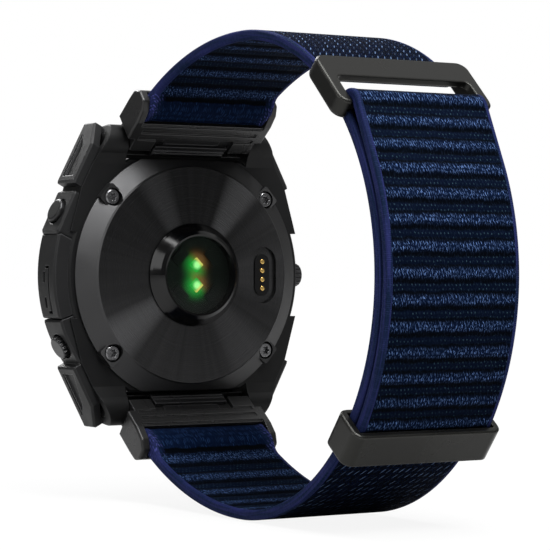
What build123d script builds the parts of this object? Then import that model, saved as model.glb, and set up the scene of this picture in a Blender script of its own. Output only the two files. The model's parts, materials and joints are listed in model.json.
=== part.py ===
"""Rugged sports watch on a closed hook-and-loop nylon band.

Frame: origin at the centre of the wrist opening, +X towards 3 o'clock, +Z towards 12 o'clock,
the dial faces -Y and the wrist lies on the +Y side of the case. Millimetres.
"""

import math
import os

from build123d import *

# ---- Band: loop of webbing round the wrist opening ------------------------------------------
band_width = 26.0
band_thickness = 1.8
loop_radius = 42.0  # outer face of one layer, on the round half of the loop
strap_end_run = 3.5  # straight webbing from the flatter stretch to the sewn eye
layer_gap = 0.5  # hook tape between the band and its folded tail
tape_margin = 2.0  # webbing left bare along each edge of the hook tape
sewn_wall = 1.25  # webbing round the eye in a connector
hinge_sewn_wall = 0.7  # webbing round the eye in the buckle
bar_clearance = 0.1  # sewn eye on its bar, and connector on its lug pin
strap_bar_radius = 0.8
edge_clearance = 0.15  # webbing edge to a metal cheek

# ---- Case -----------------------------------------------------------------------------------
case_sink = 4.5  # how far the brushed back disc stands inside the loop's radius
case_depth = 12.5  # back disc to bezel front
case_radius = 25.5  # bezel
mid_radius = 25.0
wall_inner_radius = 20.4
ledge_radius = 18.7
bezel_height = 1.7
cover_rim_depth = 3.0  # how far the cover's rim falls below the back disc
cover_rim_edge = 0.5
cover_radius = 23.9
back_disc_radius = 20.3
cover_wall = 1.2
case_flat = 21.9  # z of the flats between the lugs
cover_flat = 21.7
cavity_radius = 19.2
screw_circle = 22.06
screw_angle = 41.0  # of the first cover screw, from 3 o'clock
screw_pad = 3.9
screw_seat_height = 0.6  # above the cover's foot
screw_head_radius = 1.5
screw_shank_radius = 0.8

# ---- Lugs and connectors --------------------------------------------------------------------
pin_depth = 4.5  # lug pin's axis below the back disc
pin_z = 24.9
pin_radius = 0.9
lug_gap = 26.4
lug_clearance = 0.2  # connector's eye to a lug
lug_width = 5.0
lug_tip_radius = 3.2
bridge_drop = 1.7  # top of the wall between two lugs, below the pin's axis
bridge_depth = 2.6  # that wall's depth behind the bezel
connector_angle = 38.0  # slope of a connector from its pin to the webbing
connector_eye_radius = 2.35
connector_length = 12.9
connector_face = 7.6  # wrist face, from the pin to the lip
lip_thickness = 0.5
bar_along = 10.7  # strap bar from the lug pin, along the connector
bar_out = 0.05  # and across it
connector_outer = 2.75  # outer face above the pin's axis
connector_inner = 2.9  # wrist face below it
cheek_thickness = 1.5
connector_round = 0.8  # rounding of the outline's corners at the webbing
ridge_width = 0.9
ridge_height = 0.3
latch_width = 15.5
latch_start = -0.6  # latch's leading edge, from the pin
latch_length = 2.8
latch_travel = 1.6
latch_gap = 0.1
tongue_width = 12.0
tongue_length = 5.1
tongue_thickness = 0.9
spring_length = 2.4
spring_width = 8.0
spring_thickness = 0.15

# ---- Buckle and keeper ----------------------------------------------------------------------
buckle_angle = 46.0
buckle_length = 12.0
buckle_plate_width = 5.2
buckle_plate_thickness = 1.3
buckle_plate_gap = 0.2  # sewn eye to the plate over it
buckle_cheek = 2.0
buckle_slot_gap = 0.35  # webbing edge to the buckle's cheek
buckle_bar_radius = 0.6
buckle_corner = 2.2
buckle_opening_corner = 1.2
buckle_bevel = 0.35
bar_inset = 0.6  # end of the hinge bar from the cheek's outer face
hinge_sink = 0.85  # hinge bar inside the loop's outer face
hinge_inset = 1.2  # hinge bar's axis from the buckle's end
buckle_round = 0.9  # rounding of the cheeks towards the wrist
fold_bar_radius = 0.65
fold_bar_inset = 1.3  # end of the fold bar from the cheek's outer face
fold_offset = 5.1  # fold's centre below the middle of the buckle
fold_clearance = 0.3
tail_end_angle = -39.5
keeper_angle = -38.0
keeper_length = 6.2
keeper_wall = 1.1
keeper_corner = 1.8
keeper_clearance = 0.3

# ---- Buttons and side guards ----------------------------------------------------------------
button_radius = 2.25
button_gap = 0.3
stem_radius = 1.1
stem_clearance = 0.06
seal_clearance = 0.03
clip_groove_radius = 0.75
button_travel = 0.9
button_seat = 23.4  # floor of a button's recess, from the case's axis
switch_radius = 17.9  # outer face of the switch strip
dome_height = 0.4
clip_radius = 2.0
clip_thickness = 0.5
clip_place = 19.75
seal_radius = 1.7
seal_place = 21.2
seal_thickness = 0.7
guard_inset = 0.4  # guard's edges from the housing's front and back
guard_bevel = 0.35
groove_depth = 0.8
panel_depth = 0.3
bumper_radius = 27.8
right_guard_thickness = 1.8
left_guard_thickness = 1.2
start_guard_width = 8.8
vent_end = -17.0  # angle of the vent cover's lower end
shroud_end = -42.0

THROUGH = 60.0  # length that passes right through any piece

back_plane = case_sink - loop_radius
pin_y = back_plane - pin_depth
bezel_front = back_plane - case_depth
mid_front = bezel_front + bezel_height
mid_back = back_plane - cover_rim_depth
button_y = (mid_front + mid_back) / 2
guard_top_y = mid_back - guard_inset
guard_bottom_y = mid_front + guard_inset
centre_radius = loop_radius - band_thickness / 2
half_band = band_width / 2
half_gap = lug_gap / 2


# ---- Small helpers --------------------------------------------------------------------------
def across_y(sketch, low, high):
    """Extrudes an X-Z sketch from y = low to y = high."""
    return extrude(Plane.XZ.offset(-high) * sketch, high - low)


def across_x(sketch, low, high):
    """Extrudes a Y-Z sketch from x = low to x = high."""
    return extrude(Plane.YZ.offset(low) * sketch, high - low)


def disc(radius, low, high, x=0.0, z=0.0):
    """A cylinder along Y."""
    return across_y(Pos(x, z) * Circle(radius), low, high)


def rod(radius, low, high, y, z):
    """A cylinder along X."""
    return across_x(Pos(y, z) * Circle(radius), low, high)


def turned(points):
    """A solid turned about the Y axis from an outline of (radius, y) points."""
    profile = Plane.XY * make_face(Polyline(*[(r, y) for r, y in points], close=True))
    return revolve(profile, Axis.Y)


def polar(radius, degrees):
    """Point (first, second) at that radius and angle."""
    return radius * math.cos(math.radians(degrees)), radius * math.sin(math.radians(degrees))


def radial_plane(angle, distance, y=button_y):
    """Plane that faces outwards from the case's axis, with its local y along the case's axis."""
    x, z = polar(distance, angle)
    out_x, out_z = polar(1, angle)
    return Plane(origin=(x, y, z), x_dir=(-out_z, 0, out_x), z_dir=(out_x, 0, out_z))


def outermost(solid, angle):
    """The face furthest out along a radius of the case."""
    out_x, out_z = polar(1, angle)
    return solid.faces().sort_by(Axis(origin=(0, 0, 0), direction=(out_x, 0, out_z)))[-1]


def radial_rod(radius, angle, low, high, y=button_y):
    """A cylinder along a radius of the case."""
    return extrude(radial_plane(angle, low, y) * Circle(radius), high - low)


def mirrored(solid, plane):
    """The mirror image of a solid in a plane through the origin."""
    return mirror(solid, about=plane)


# ---- Case -----------------------------------------------------------------------------------
BUTTONS = {"start": 25.0, "back": -28.5, "light": 154.0, "up": 180.0, "down": 209.5}
GUARDED = ("start", "back")
guarded_reach = 28.8
plain_reach = 27.4
flank_top = (half_gap + lug_width - 1.9, pin_z + 2.9)
flank_foot = (22.2, 16.4)


def lug():
    """The lug at 3 o'clock and 12 o'clock, from its plan and its side view."""
    inner_line = ((half_gap, 8), (half_gap, flank_top[1] + 2))
    plan = make_face(Polyline(*inner_line, flank_top, flank_foot, (mid_radius - 0.4, 8), close=True))
    side = make_face(
        Polyline(
            (mid_front, 8),
            (mid_front + 0.5, pin_z - 1.5),
            (pin_y - 3.0, pin_z + 2.6),
            (pin_y, pin_z + lug_tip_radius),
            (pin_y + lug_tip_radius, pin_z),
            (mid_back, cover_flat - 1.0),
            (mid_back, 8),
            close=True,
        )
    ) + Pos(pin_y, pin_z) * Circle(lug_tip_radius)
    return across_y(plan, mid_front, back_plane) & across_x(side, 0, 30)


def button_space(name):
    """Room for one button's cap, out from its seat."""
    return radial_rod(button_radius + button_gap, BUTTONS[name], button_seat, bumper_radius + 4)


def housing():
    """Moulded housing with its lugs, before its holes."""
    body = across_y(Circle(mid_radius) & Rectangle(THROUGH, 2 * case_flat), mid_front, mid_back)
    body = chamfer(body.faces().filter_by(Axis.Y).sort_by(Axis.Y)[-1].outer_wire().edges(), 0.4)
    corner = lug()
    for solid in (corner, mirrored(corner, Plane.YZ)):
        body += solid + mirrored(solid, Plane.XY)
    bridge = Rectangle(2 * half_gap + 1, 2 * (pin_z - bridge_drop))
    return body + across_y(bridge, mid_front, mid_front + bridge_depth)


gasket_inner = wall_inner_radius + 0.35
gasket_outer = gasket_inner + 0.4
gasket_depth = 0.5


def cover_screw_places():
    """Places (x, z) of the four cover screws."""
    x, z = polar(screw_circle, screw_angle)
    return [(x, z), (-x, z), (-x, -z), (x, -z)]


def mid_case():
    """Housing open at the front and the back, with a ledge for the display."""
    body = housing() - disc(wall_inner_radius, mid_front - 1, mid_back + 1)
    ledge = disc(wall_inner_radius + 0.1, mid_front + 0.6, mid_front + 1.6)
    body += ledge - disc(ledge_radius, mid_front, mid_front + 2)
    body -= gasket_ring()
    for name, angle in BUTTONS.items():
        body -= button_space(name)
        body -= radial_rod(stem_radius + stem_clearance, angle, 19, mid_radius)
        body -= radial_rod(seal_radius, angle, seal_place, seal_place + seal_thickness)
    for side in (1, -1):
        body -= rod(pin_radius, -30, 30, pin_y, side * pin_z)
        for end in (1, -1):
            low, high = sorted((end * (half_gap + lug_width - 2.2), end * 30))
            body -= rod(1.6, low, high, pin_y, side * pin_z)
    for x, z in cover_screw_places():
        body -= disc(screw_shank_radius, mid_back - 4, mid_back + 1, x, z)
    return body


def bezel():
    """Front ring with a knurled edge and a seat for the lens."""
    ring = turned(
        [
            (20.2, mid_front),
            (case_radius, mid_front),
            (case_radius, bezel_front + 0.9),
            (case_radius - 1.4, bezel_front),
            (21.6, bezel_front),
            (20.2, bezel_front + 0.7),
        ]
    )
    notch_count = 24
    for number in range(notch_count):
        angle = 360 / notch_count * (number + 0.5)
        ring -= extrude(radial_plane(angle, case_radius - 0.5, bezel_front) * Rectangle(1.6, 1.5), 2)
    for number in range(6):
        x, z = polar(23.0, 30 + 60 * number)
        ring -= disc(0.9, bezel_front - 1, bezel_front + 0.8, x, z)
    return ring


def bezel_screws():
    """Six small slotted screws set in the bezel."""
    screws = []
    for number in range(6):
        x, z = polar(23.0, 30 + 60 * number)
        head = disc(0.85, bezel_front + 0.15, bezel_front + 0.8, x, z)
        line = Pos(x, z) * Rotation(0, 0, 60 * number) * Rectangle(2, 0.25)
        slot = across_y(line, bezel_front, bezel_front + 0.35)
        screws.append(head - slot)
    return screws


def lens():
    """Flat crystal, seated just below the bezel's front."""
    plate = disc(20.1, bezel_front + 0.2, mid_front)
    return chamfer(plate.faces().sort_by(Axis.Y)[0].edges(), 0.3)


def dial_ring():
    """Chapter ring under the lens with twelve sunk ticks."""
    ring = disc(wall_inner_radius, mid_front, mid_front + 0.6) - disc(17.6, mid_front - 1, mid_front + 1)
    for number in range(12):
        angle = 30 * number
        tick = Pos(*polar(18.9, angle)) * Rotation(0, 0, angle) * Rectangle(1.5, 0.4)
        ring -= across_y(tick, mid_front - 1, mid_front + 0.25)
    return ring


display_top = mid_front + 2.0


def display_module():
    """Round display behind the chapter ring."""
    return disc(18.6, mid_front + 0.6, display_top) + disc(17.4, mid_front, mid_front + 0.7)


def main_board():
    """Circuit board with its shielding can."""
    board_y = display_top
    board = disc(16.8, board_y, board_y + 0.8)
    can = across_y(Pos(-4, 5) * RectangleRounded(13, 9, 0.8), board_y + 0.8, board_y + 1.8)
    return board + can


def battery():
    """Flat cell between the board and the sensor."""
    low = mid_front + 3.9
    return across_y(Pos(0, -2) * RectangleRounded(24, 22, 2), low, low + 2.7)


def vibration_motor():
    """Coin motor beside the cell."""
    return disc(3.4, mid_front + 2.8, mid_front + 5.6, 5, 13.0)


def switch_flex():
    """Flexible strip on the display that carries one dome switch behind each button."""
    low, high = display_top, button_y + 1.9
    strip = disc(switch_radius, low, high) - disc(switch_radius - 0.4, low - 1, high + 1)
    for angle in BUTTONS.values():
        strip += radial_rod(1.6, angle, switch_radius - 0.3, switch_radius + dome_height)
    return strip


def cover_blank():
    """Rear cover before its holes: raised disc, falling rim, screw pads."""
    dish = turned(
        [
            (0, back_plane),
            (back_disc_radius, back_plane - 0.15),
            (back_disc_radius + 0.25, back_plane - 0.5),
            (cover_radius, mid_back + cover_rim_edge),
            (cover_radius, mid_back),
            (cavity_radius, mid_back),
            (cavity_radius - 1.0, back_plane - cover_wall),
            (0, back_plane - cover_wall),
        ]
    )
    for x, z in cover_screw_places():
        spot = Pos(x, z) * Rotation(0, 0, math.degrees(math.atan2(z, x)))
        dish += across_y(spot * RectangleRounded(screw_pad, screw_pad, 0.5), mid_back, mid_back + 1.65)
    return dish & across_y(Rectangle(THROUGH, 2 * cover_flat), mid_back, back_plane)


sensor_radius = 9.7
window_radius = 7.3
port_x = -15.4
port_width = 5.8
port_height = 10.8
port_depth = 0.8
insert_width = 3.2
insert_height = 8.0
contact_pitch = 1.7


def rear_cover():
    """Metal back with its sensor opening, charging pocket and screw seats."""
    cover = cover_blank()
    cover -= disc(sensor_radius, mid_back - 1, back_plane + 1)
    port = Pos(port_x, 0)
    cover -= across_y(port * SlotOverall(port_height, port_width, 90), back_plane - port_depth, back_plane + 1)
    cover -= across_y(port * SlotOverall(insert_height, insert_width, 90), mid_back - 1, back_plane)
    for x, z in cover_screw_places():
        cover -= disc(screw_shank_radius, mid_back - 1, back_plane, x, z)
        cover -= disc(screw_head_radius + 0.2, mid_back + screw_seat_height, back_plane + 1, x, z)
    return cover


def rear_cover_screws():
    """Four cover screws with six-lobe sockets."""
    screws = []
    seat = mid_back + screw_seat_height
    socket_radius = 0.62
    for x, z in cover_screw_places():
        head = disc(screw_head_radius, seat, seat + 1.1, x, z)
        head = chamfer(head.faces().sort_by(Axis.Y)[-1].edges(), 0.25)
        shank = disc(screw_shank_radius, mid_back - 3.2, seat, x, z)
        socket = disc(socket_radius, seat + 0.35, seat + 2, x, z)
        for lobe in range(6):
            dx, dz = polar(socket_radius, 60 * lobe)
            socket += disc(0.22, seat + 0.35, seat + 2, x + dx, z + dz)
        screws.append(head + shank - socket)
    return screws


def gasket_ring():
    """Seal ring between the housing and the cover."""
    ring = disc(gasket_outer, mid_back - gasket_depth, mid_back)
    return ring - disc(gasket_inner, mid_back - 1, mid_back + 1)


sensor_top = back_plane + 2.4


def sensor_ring():
    """Stepped glossy ring of the optical sensor."""
    return turned(
        [
            (window_radius, mid_back + 0.8),
            (sensor_radius, mid_back + 0.8),
            (sensor_radius, back_plane + 0.25),
            (sensor_radius - 0.35, back_plane + 0.7),
            (window_radius + 1.0, back_plane + 1.9),
            (window_radius + 0.35, sensor_top),
            (window_radius, sensor_top - 0.1),
        ]
    )


def sensor_window():
    """Slightly domed window over the lamps."""
    window = disc(window_radius, sensor_top - 1.3, sensor_top + 0.4)
    dome_radius = 60.0
    ball = Pos(0, sensor_top + 0.3 - dome_radius, 0) * Sphere(dome_radius)
    return window & ball


def sensor_board():
    """Small board behind the window."""
    return disc(window_radius, sensor_top - 2.9, sensor_top - 2.1)


def sensor_lamps():
    """Two green lamps, square on the diagonal."""
    low = sensor_top - 2.1
    square = Rotation(0, 0, 45) * Rectangle(1.9, 1.9)
    return [across_y(Pos(0, z) * square, low, low + 0.5) for z in (1.9, -1.9)]


def sensor_photodiodes():
    """Four detectors round the lamps."""
    low = sensor_top - 2.1
    cells = []
    for angle in (45, 135, 225, 315):
        x, z = polar(4.9, angle)
        cells.append(across_y(Pos(x, z) * Rotation(0, 0, angle) * Rectangle(1.9, 3.2), low, low + 0.4))
    return cells


def charge_insert():
    """Plastic carrier in the charging pocket."""
    outline = Pos(port_x, 0) * SlotOverall(insert_height, insert_width, 90)
    carrier = across_y(outline, mid_back + 0.9, back_plane - 0.55)
    for number in range(4):
        carrier -= disc(0.5, mid_back, back_plane + 1, port_x, contact_pitch * (number - 1.5))
    return carrier


def charge_contacts():
    """Four round contacts."""
    contacts = []
    for number in range(4):
        pin = disc(0.5, mid_back + 0.9, back_plane - 0.3, port_x, contact_pitch * (number - 1.5))
        contacts.append(fillet(pin.faces().sort_by(Axis.Y)[-1].edges(), 0.2))
    return contacts


def button(name):
    """Button cap with its stem, and a groove for the retaining clip."""
    angle = BUTTONS[name]
    reach = guarded_reach if name in GUARDED else plain_reach
    cap_foot = button_seat + button_travel + 0.3
    cap = radial_rod(button_radius, angle, cap_foot, reach)
    cap = fillet(outermost(cap, angle).edges(), 0.45)
    if name != "start":
        tooth_count = 18
        for number in range(tooth_count):
            across, along = polar(button_radius + 0.1, 360 / tooth_count * number)
            spot = radial_plane(angle, reach - 2.4) * Pos(across, along) * Circle(0.34)
            cap -= extrude(spot, 3)
    stem_end = switch_radius + dome_height + button_travel + 0.1
    stem = radial_rod(stem_radius, angle, stem_end, cap_foot)
    groove = radial_rod(stem_radius + 1, angle, clip_place, clip_place + clip_thickness)
    groove -= radial_rod(clip_groove_radius, angle, clip_place - 1, clip_place + 2)
    return cap + stem - groove


def button_clip(name):
    """Retaining clip in the stem's groove, open on one side."""
    angle = BUTTONS[name]
    ring = radial_rod(clip_radius, angle, clip_place, clip_place + clip_thickness)
    ring -= radial_rod(clip_groove_radius, angle, clip_place - 1, clip_place + 2)
    mouth = radial_plane(angle, clip_place - 1) * Pos(0, -clip_radius) * Rectangle(1.1, 2 * clip_radius)
    return ring - extrude(mouth, 2 + clip_thickness)


def button_seals():
    """A rubber ring in each bore, round the stem."""
    seals = []
    for angle in BUTTONS.values():
        ring = radial_rod(seal_radius, angle, seal_place, seal_place + seal_thickness)
        seals.append(ring - radial_rod(stem_radius + seal_clearance, angle, seal_place - 1, seal_place + 2))
    return seals


# ---- Side guards ----------------------------------------------------------------------------
flank_run = (flank_foot[0] - flank_top[0], flank_foot[1] - flank_top[1])
flank_length = math.hypot(*flank_run)
flank_out = (-flank_run[1] / flank_length, flank_run[0] / flank_length)
flank_along = (flank_run[0] / flank_length, flank_run[1] / flank_length)


def flank_point(along, out):
    """Point (x, z) from the directions of the 3 o'clock, 12 o'clock flank, from its top."""
    return (
        flank_top[0] + flank_along[0] * along + flank_out[0] * out,
        flank_top[1] + flank_along[1] * along + flank_out[1] * out,
    )


def fitted(guard, *names):
    """A guard cut back to the housing and to the caps of the named buttons."""
    guard -= housing()
    for name in names:
        guard -= button_space(name)
    return guard


def flank_plate(thickness):
    """Plate on one lug's flank: cut corner, sunk panel, and a straight groove beside the panel."""
    corners = [flank_point(0, 0), flank_point(flank_length, 0)]
    corners += [flank_point(flank_length, thickness), flank_point(0, thickness)]
    plate = across_y(make_face(Polyline(*corners, close=True)), guard_bottom_y, guard_top_y)
    origin = flank_point(0, thickness)
    face = Plane(
        origin=(origin[0], guard_top_y, origin[1]),
        x_dir=(flank_along[0], 0, flank_along[1]),
        z_dir=(flank_out[0], 0, flank_out[1]),
    )
    corner = make_face(Polyline((-1, 1), (6.2, 1), (-1, -3.6), close=True))
    plate -= extrude(face.offset(-thickness - 1) * corner, thickness + 2)
    outer = plate.faces().sort_by(Axis(origin=(0, 0, 0), direction=(flank_out[0], 0, flank_out[1])))[-1]
    plate = chamfer(outer.edges(), guard_bevel)
    end = flank_length - 1.4
    panel = make_face(Polyline((3.4, -4.7), (end, -4.7), (end, -1.3), (4.9, -3.4), close=True))
    plate -= extrude(face.offset(-panel_depth) * panel, 2)
    groove = make_face(Polyline((2.6, -5.6), (end, -5.6), (end, -5.05), (2.9, -5.05), close=True))
    return plate - extrude(face.offset(-groove_depth) * groove, 2)


def bumper(start, end):
    """Block round the housing from one angle to another."""
    wedge = make_face(Polyline((0, 0), polar(60, start), polar(60, end), close=True))
    block = across_y(wedge & (Circle(bumper_radius) - Circle(mid_radius)), guard_bottom_y, guard_top_y)
    outer = block.faces().filter_by(GeomType.CYLINDER).sort_by(SortBy.AREA)[-1]
    return chamfer(outer.edges(), guard_bevel)


def upper_right_guard():
    """Guard plate beside the start button."""
    return fitted(flank_plate(right_guard_thickness), "start")


def lower_right_guard():
    """Guard plate below the back button, with the shroud round that button."""
    plate = mirrored(flank_plate(right_guard_thickness), Plane.XY)
    return fitted(plate + bumper(shroud_end, vent_end - 0.6), "back")


def left_guard():
    """Thin guard plate on the 9 o'clock side."""
    return fitted(mirrored(flank_plate(left_guard_thickness), Plane.YZ), "light")


def start_block(margin=0.0):
    """Block round the start button, before its hole."""
    base = radial_plane(BUTTONS["start"], mid_radius - 0.6)
    sides = (start_guard_width + 2 * margin, guard_top_y - guard_bottom_y + 2 * margin)
    return extrude(base * RectangleRounded(*sides, 0.8), bumper_radius + 0.1 - mid_radius + 0.6 + margin)


def start_guard():
    """Square frame round the start button."""
    block = start_block()
    block = chamfer(outermost(block, BUTTONS["start"]).edges(), guard_bevel)
    edge = flank_length + 0.15
    above = [flank_point(edge, -20), flank_point(edge, 20), flank_point(-20, 20), flank_point(-20, -20)]
    block -= across_y(make_face(Polyline(*above, close=True)), guard_bottom_y - 1, guard_top_y + 1)
    return fitted(block, "start")


def vent_cover():
    """Cover of the pressure port at 3 o'clock, with its bracket groove and two slots."""
    block = bumper(vent_end, BUTTONS["start"])
    block -= start_block(0.15)
    face = radial_plane(vent_end / 3, bumper_radius)
    groove = Pos(0, -1.1) * Rectangle(8.4, 0.5)
    slots = None
    for end in (1, -1):
        groove += Pos(end * 4.2, -0.6) * Rectangle(0.5, 1.5)
        slot = Pos(end * 2.4, 0.6) * Rectangle(2.0, 0.7)
        slots = slot if slots is None else slots + slot
    block -= extrude(face.offset(-groove_depth - 0.3) * groove, 2)
    block -= extrude(face.offset(-1.6) * slots, 3)
    return fitted(block, "start", "back")


def lug_pin(side):
    """Pin across the lugs with a screw head at each end."""
    reach = half_gap + lug_width - 2.2
    pin = rod(pin_radius, -reach, reach, pin_y, side * pin_z)
    for end in (1, -1):
        low, high = sorted((end * reach, end * (reach + 1.0)))
        pin += rod(1.5, low, high, pin_y, side * pin_z)
    return pin


# ---- Band path ------------------------------------------------------------------------------
bar_direction = polar(1, connector_angle)
strap_bar = (
    pin_y + bar_along * bar_direction[0] - bar_out * bar_direction[1],
    pin_z + bar_along * bar_direction[1] + bar_out * bar_direction[0],
)
# A straight run from the bar and one arc meet the round half of the loop at its top, level with it.
shoulder_angle = 2 * math.degrees(math.atan((centre_radius - strap_bar[1]) / (strap_end_run - strap_bar[0])))
end_direction = polar(1, shoulder_angle)
shoulder_line = (-strap_bar[0] - strap_end_run * end_direction[0]) / end_direction[1]
shoulder_centre = (0.0, centre_radius - shoulder_line)
shoulder_start = (
    strap_bar[0] + strap_end_run * end_direction[0],
    strap_bar[1] + strap_end_run * end_direction[1],
)
eye_radius = strap_bar_radius + bar_clearance + sewn_wall
fold_radius = fold_bar_radius + fold_clearance + band_thickness / 2
fold_distance = centre_radius + fold_radius
fold_angle = buckle_angle - math.degrees(math.asin(fold_offset / fold_distance))
tail_radius = centre_radius + band_thickness + layer_gap
release_angle = math.degrees(math.acos((tail_radius - fold_radius) / fold_distance))
buckle_tangent = (math.sin(math.radians(buckle_angle)), -math.cos(math.radians(buckle_angle)))
buckle_normal = polar(1, buckle_angle)


def on_buckle(along, out):
    """Point (y, z) from the buckle's own directions: along the band, and out from the loop's centre."""
    return (
        buckle_tangent[0] * along + buckle_normal[0] * out,
        buckle_tangent[1] * along + buckle_normal[1] * out,
    )


hinge_along = hinge_inset - buckle_length / 2
hinge_out = loop_radius - hinge_sink
hinge_eye = buckle_bar_radius + bar_clearance + hinge_sewn_wall
hinge_point = on_buckle(hinge_along, hinge_out)
hinge_angle = math.degrees(math.atan2(hinge_point[1], hinge_point[0]))


def arc_edge(centre, radius, start, end):
    """Arc in the Y-Z plane from one angle to another, through the angle midway."""
    points = []
    for angle in (start, (start + end) / 2, end):
        dy, dz = polar(radius, angle)
        points.append((0, centre[0] + dy, centre[1] + dz))
    return ThreePointArc(*points)


def webbing(edges, width=band_width, thickness=band_thickness):
    """Flat webbing swept along a smooth path in the Y-Z plane."""
    path = Wire(edges)
    section = Plane(origin=path @ 0, x_dir=(1, 0, 0), z_dir=path % 0) * Rectangle(width, thickness)
    return sweep(section, path)


def end_run(mirror_z=1):
    """Straight webbing between the sewn eye and the shoulder."""
    bar_end = (0, strap_bar[0], mirror_z * strap_bar[1])
    return Line(bar_end, (0, shoulder_start[0], mirror_z * shoulder_start[1]))


def upper_strap():
    """Short strap from the upper connector over the top to the buckle's hinge bar."""
    shoulder = arc_edge(shoulder_centre, shoulder_line, 90 + shoulder_angle, 90)
    crown = arc_edge((0, 0), centre_radius, 90, hinge_angle)
    strap = webbing([end_run(), shoulder, crown])
    strap += rod(eye_radius, -half_band, half_band, *strap_bar)
    strap += rod(hinge_eye, -half_band, half_band, *hinge_point)
    strap -= rod(strap_bar_radius + bar_clearance, -20, 20, *strap_bar)
    return strap - rod(buckle_bar_radius + bar_clearance, -20, 20, *hinge_point)


def lower_strap():
    """Long strap from the lower connector, up through the buckle, folded back to its tail's end."""
    shoulder = arc_edge((0, -shoulder_centre[1]), shoulder_line, -90 - shoulder_angle, -90)
    bowl = arc_edge((0, 0), centre_radius, -90, fold_angle)
    fold_centre = polar(fold_distance, fold_angle)
    fold = arc_edge(fold_centre, fold_radius, fold_angle + 180, fold_angle - release_angle)
    leave = polar(fold_radius, fold_angle - release_angle)
    land = polar(tail_radius, fold_angle - release_angle)
    run = Line((0, fold_centre[0] + leave[0], fold_centre[1] + leave[1]), (0, *land))
    tail = arc_edge((0, 0), tail_radius, fold_angle - release_angle, tail_end_angle)
    strap = webbing([end_run(-1), shoulder, bowl, fold, run, tail])
    strap += rod(eye_radius, -half_band, half_band, strap_bar[0], -strap_bar[1])
    return strap - rod(strap_bar_radius + bar_clearance, -20, 20, strap_bar[0], -strap_bar[1])


def hook_tape():
    """Hook tape that holds the tail to the band."""
    start, end = tail_end_angle + 1.5, fold_angle - release_angle - 2
    tape_radius = loop_radius + layer_gap / 2
    return webbing([arc_edge((0, 0), tape_radius, start, end)], band_width - 2 * tape_margin, layer_gap)


# ---- Connectors -----------------------------------------------------------------------------
def connector_plane(offset=0.0):
    """Plane through the upper lug pin: local x towards the webbing, local y outwards."""
    direction = polar(1, connector_angle)
    return Plane(origin=(offset, pin_y, pin_z), x_dir=(0, *direction), z_dir=(1, 0, 0))


def in_connector(sketch, low, high):
    """Extrudes a connector sketch from x = low to x = high."""
    return extrude(connector_plane(low) * sketch, high - low)


slot_half = half_band + edge_clearance
cheek_reach = slot_half + cheek_thickness
tongue_top = -pin_radius - bar_clearance - 0.2
tongue_foot = tongue_top - tongue_thickness


def connector():
    """Metal connector: hooked on the lug pin, with a pocket for the sewn eye of the webbing."""
    bar = (bar_along, bar_out)
    tip = (connector_length, 1.2)
    outline = make_face(
        Polyline(
            (0, connector_eye_radius),
            (1.2, connector_outer),
            (bar_along - 1.5, connector_outer),
            (bar_along + 0.9, connector_outer - 0.15),
            tip,
            (connector_length, -1.1),
            (bar_along + 0.6, -2.4),
            (connector_face + 1.0, -connector_inner),
            (0.2, -connector_inner),
            (-connector_eye_radius + 0.2, -0.8),
            close=True,
        )
    )
    far_corners = outline.vertices().filter_by(lambda corner: corner.X > connector_face + 1.2)
    outline = fillet(far_corners, connector_round) + Circle(connector_eye_radius)
    wide_start = lug_tip_radius + 0.9
    wide = outline & Pos(wide_start + connector_length / 2, 0) * Rectangle(connector_length, 12)
    eye_end = half_gap - lug_clearance
    body = in_connector(outline, -eye_end, eye_end) + in_connector(wide, -cheek_reach, cheek_reach)
    tips = [edge for edge in body.edges() if abs(abs(edge.center().X) - cheek_reach) < 0.01]
    body = fillet(tips, 0.45)
    pocket = Pos(*bar) * Circle(eye_radius + 0.1)
    lean = Rotation(0, 0, shoulder_angle - connector_angle)
    mouth = Pos(*bar) * lean * Pos(6, 0) * Rectangle(12, band_thickness + 0.6)
    window = Pos(connector_face + lip_thickness + 5, -5) * Rectangle(10, 10)
    step = Pos(connector_face + 5, -connector_inner - 4) * Rectangle(10, 10 - 2 * (1 - ridge_height))
    body -= in_connector(pocket + mouth + window + step, -slot_half, slot_half)
    body -= in_connector(Pos(*bar) * Circle(strap_bar_radius), -half_band - 1.0, half_band + 1.0)
    body -= in_connector(Circle(pin_radius + bar_clearance), -THROUGH, THROUGH)
    body -= in_connector(Pos(0, -3) * Rectangle(2 * (pin_radius + bar_clearance), 6), -THROUGH, THROUGH)
    for place in (connector_face - ridge_width - 0.55, connector_face - 2 * ridge_width - 1.5):
        channel = Pos(place, -connector_inner) * Rectangle(1.0, 2 * ridge_height)
        body -= in_connector(channel, -half_band + 0.6, half_band - 0.6)
    guide = Pos(latch_start - 2, tongue_foot - latch_gap) * Rectangle(
        tongue_length + spring_length + 2, tongue_thickness + 2 * latch_gap, align=Align.MIN
    )
    body -= in_connector(guide, -tongue_width / 2 - latch_gap, tongue_width / 2 + latch_gap)
    recess_size = (2 + latch_length + latch_travel + 0.2, 10 + tongue_foot + latch_gap)
    recess = Pos(latch_start - 2, -10) * Rectangle(*recess_size, align=Align.MIN)
    return body - in_connector(recess, -latch_width / 2 - 0.7, latch_width / 2 + 0.7)


def latch():
    """Sliding latch that closes the hook: tongue in its guide, and a ridged plate for the thumb."""
    tongue = Pos(latch_start, tongue_foot) * Rectangle(tongue_length, tongue_thickness, align=Align.MIN)
    plate_foot = -connector_inner + 0.05
    plate = Pos(latch_start, plate_foot) * Rectangle(latch_length, tongue_foot - plate_foot, align=Align.MIN)
    for place in (1.0, 1.7):
        plate -= Pos(latch_start + place, plate_foot) * Rectangle(0.3, 0.4)
    body = in_connector(tongue, -tongue_width / 2, tongue_width / 2)
    return body + in_connector(plate, -latch_width / 2, latch_width / 2)


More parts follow.
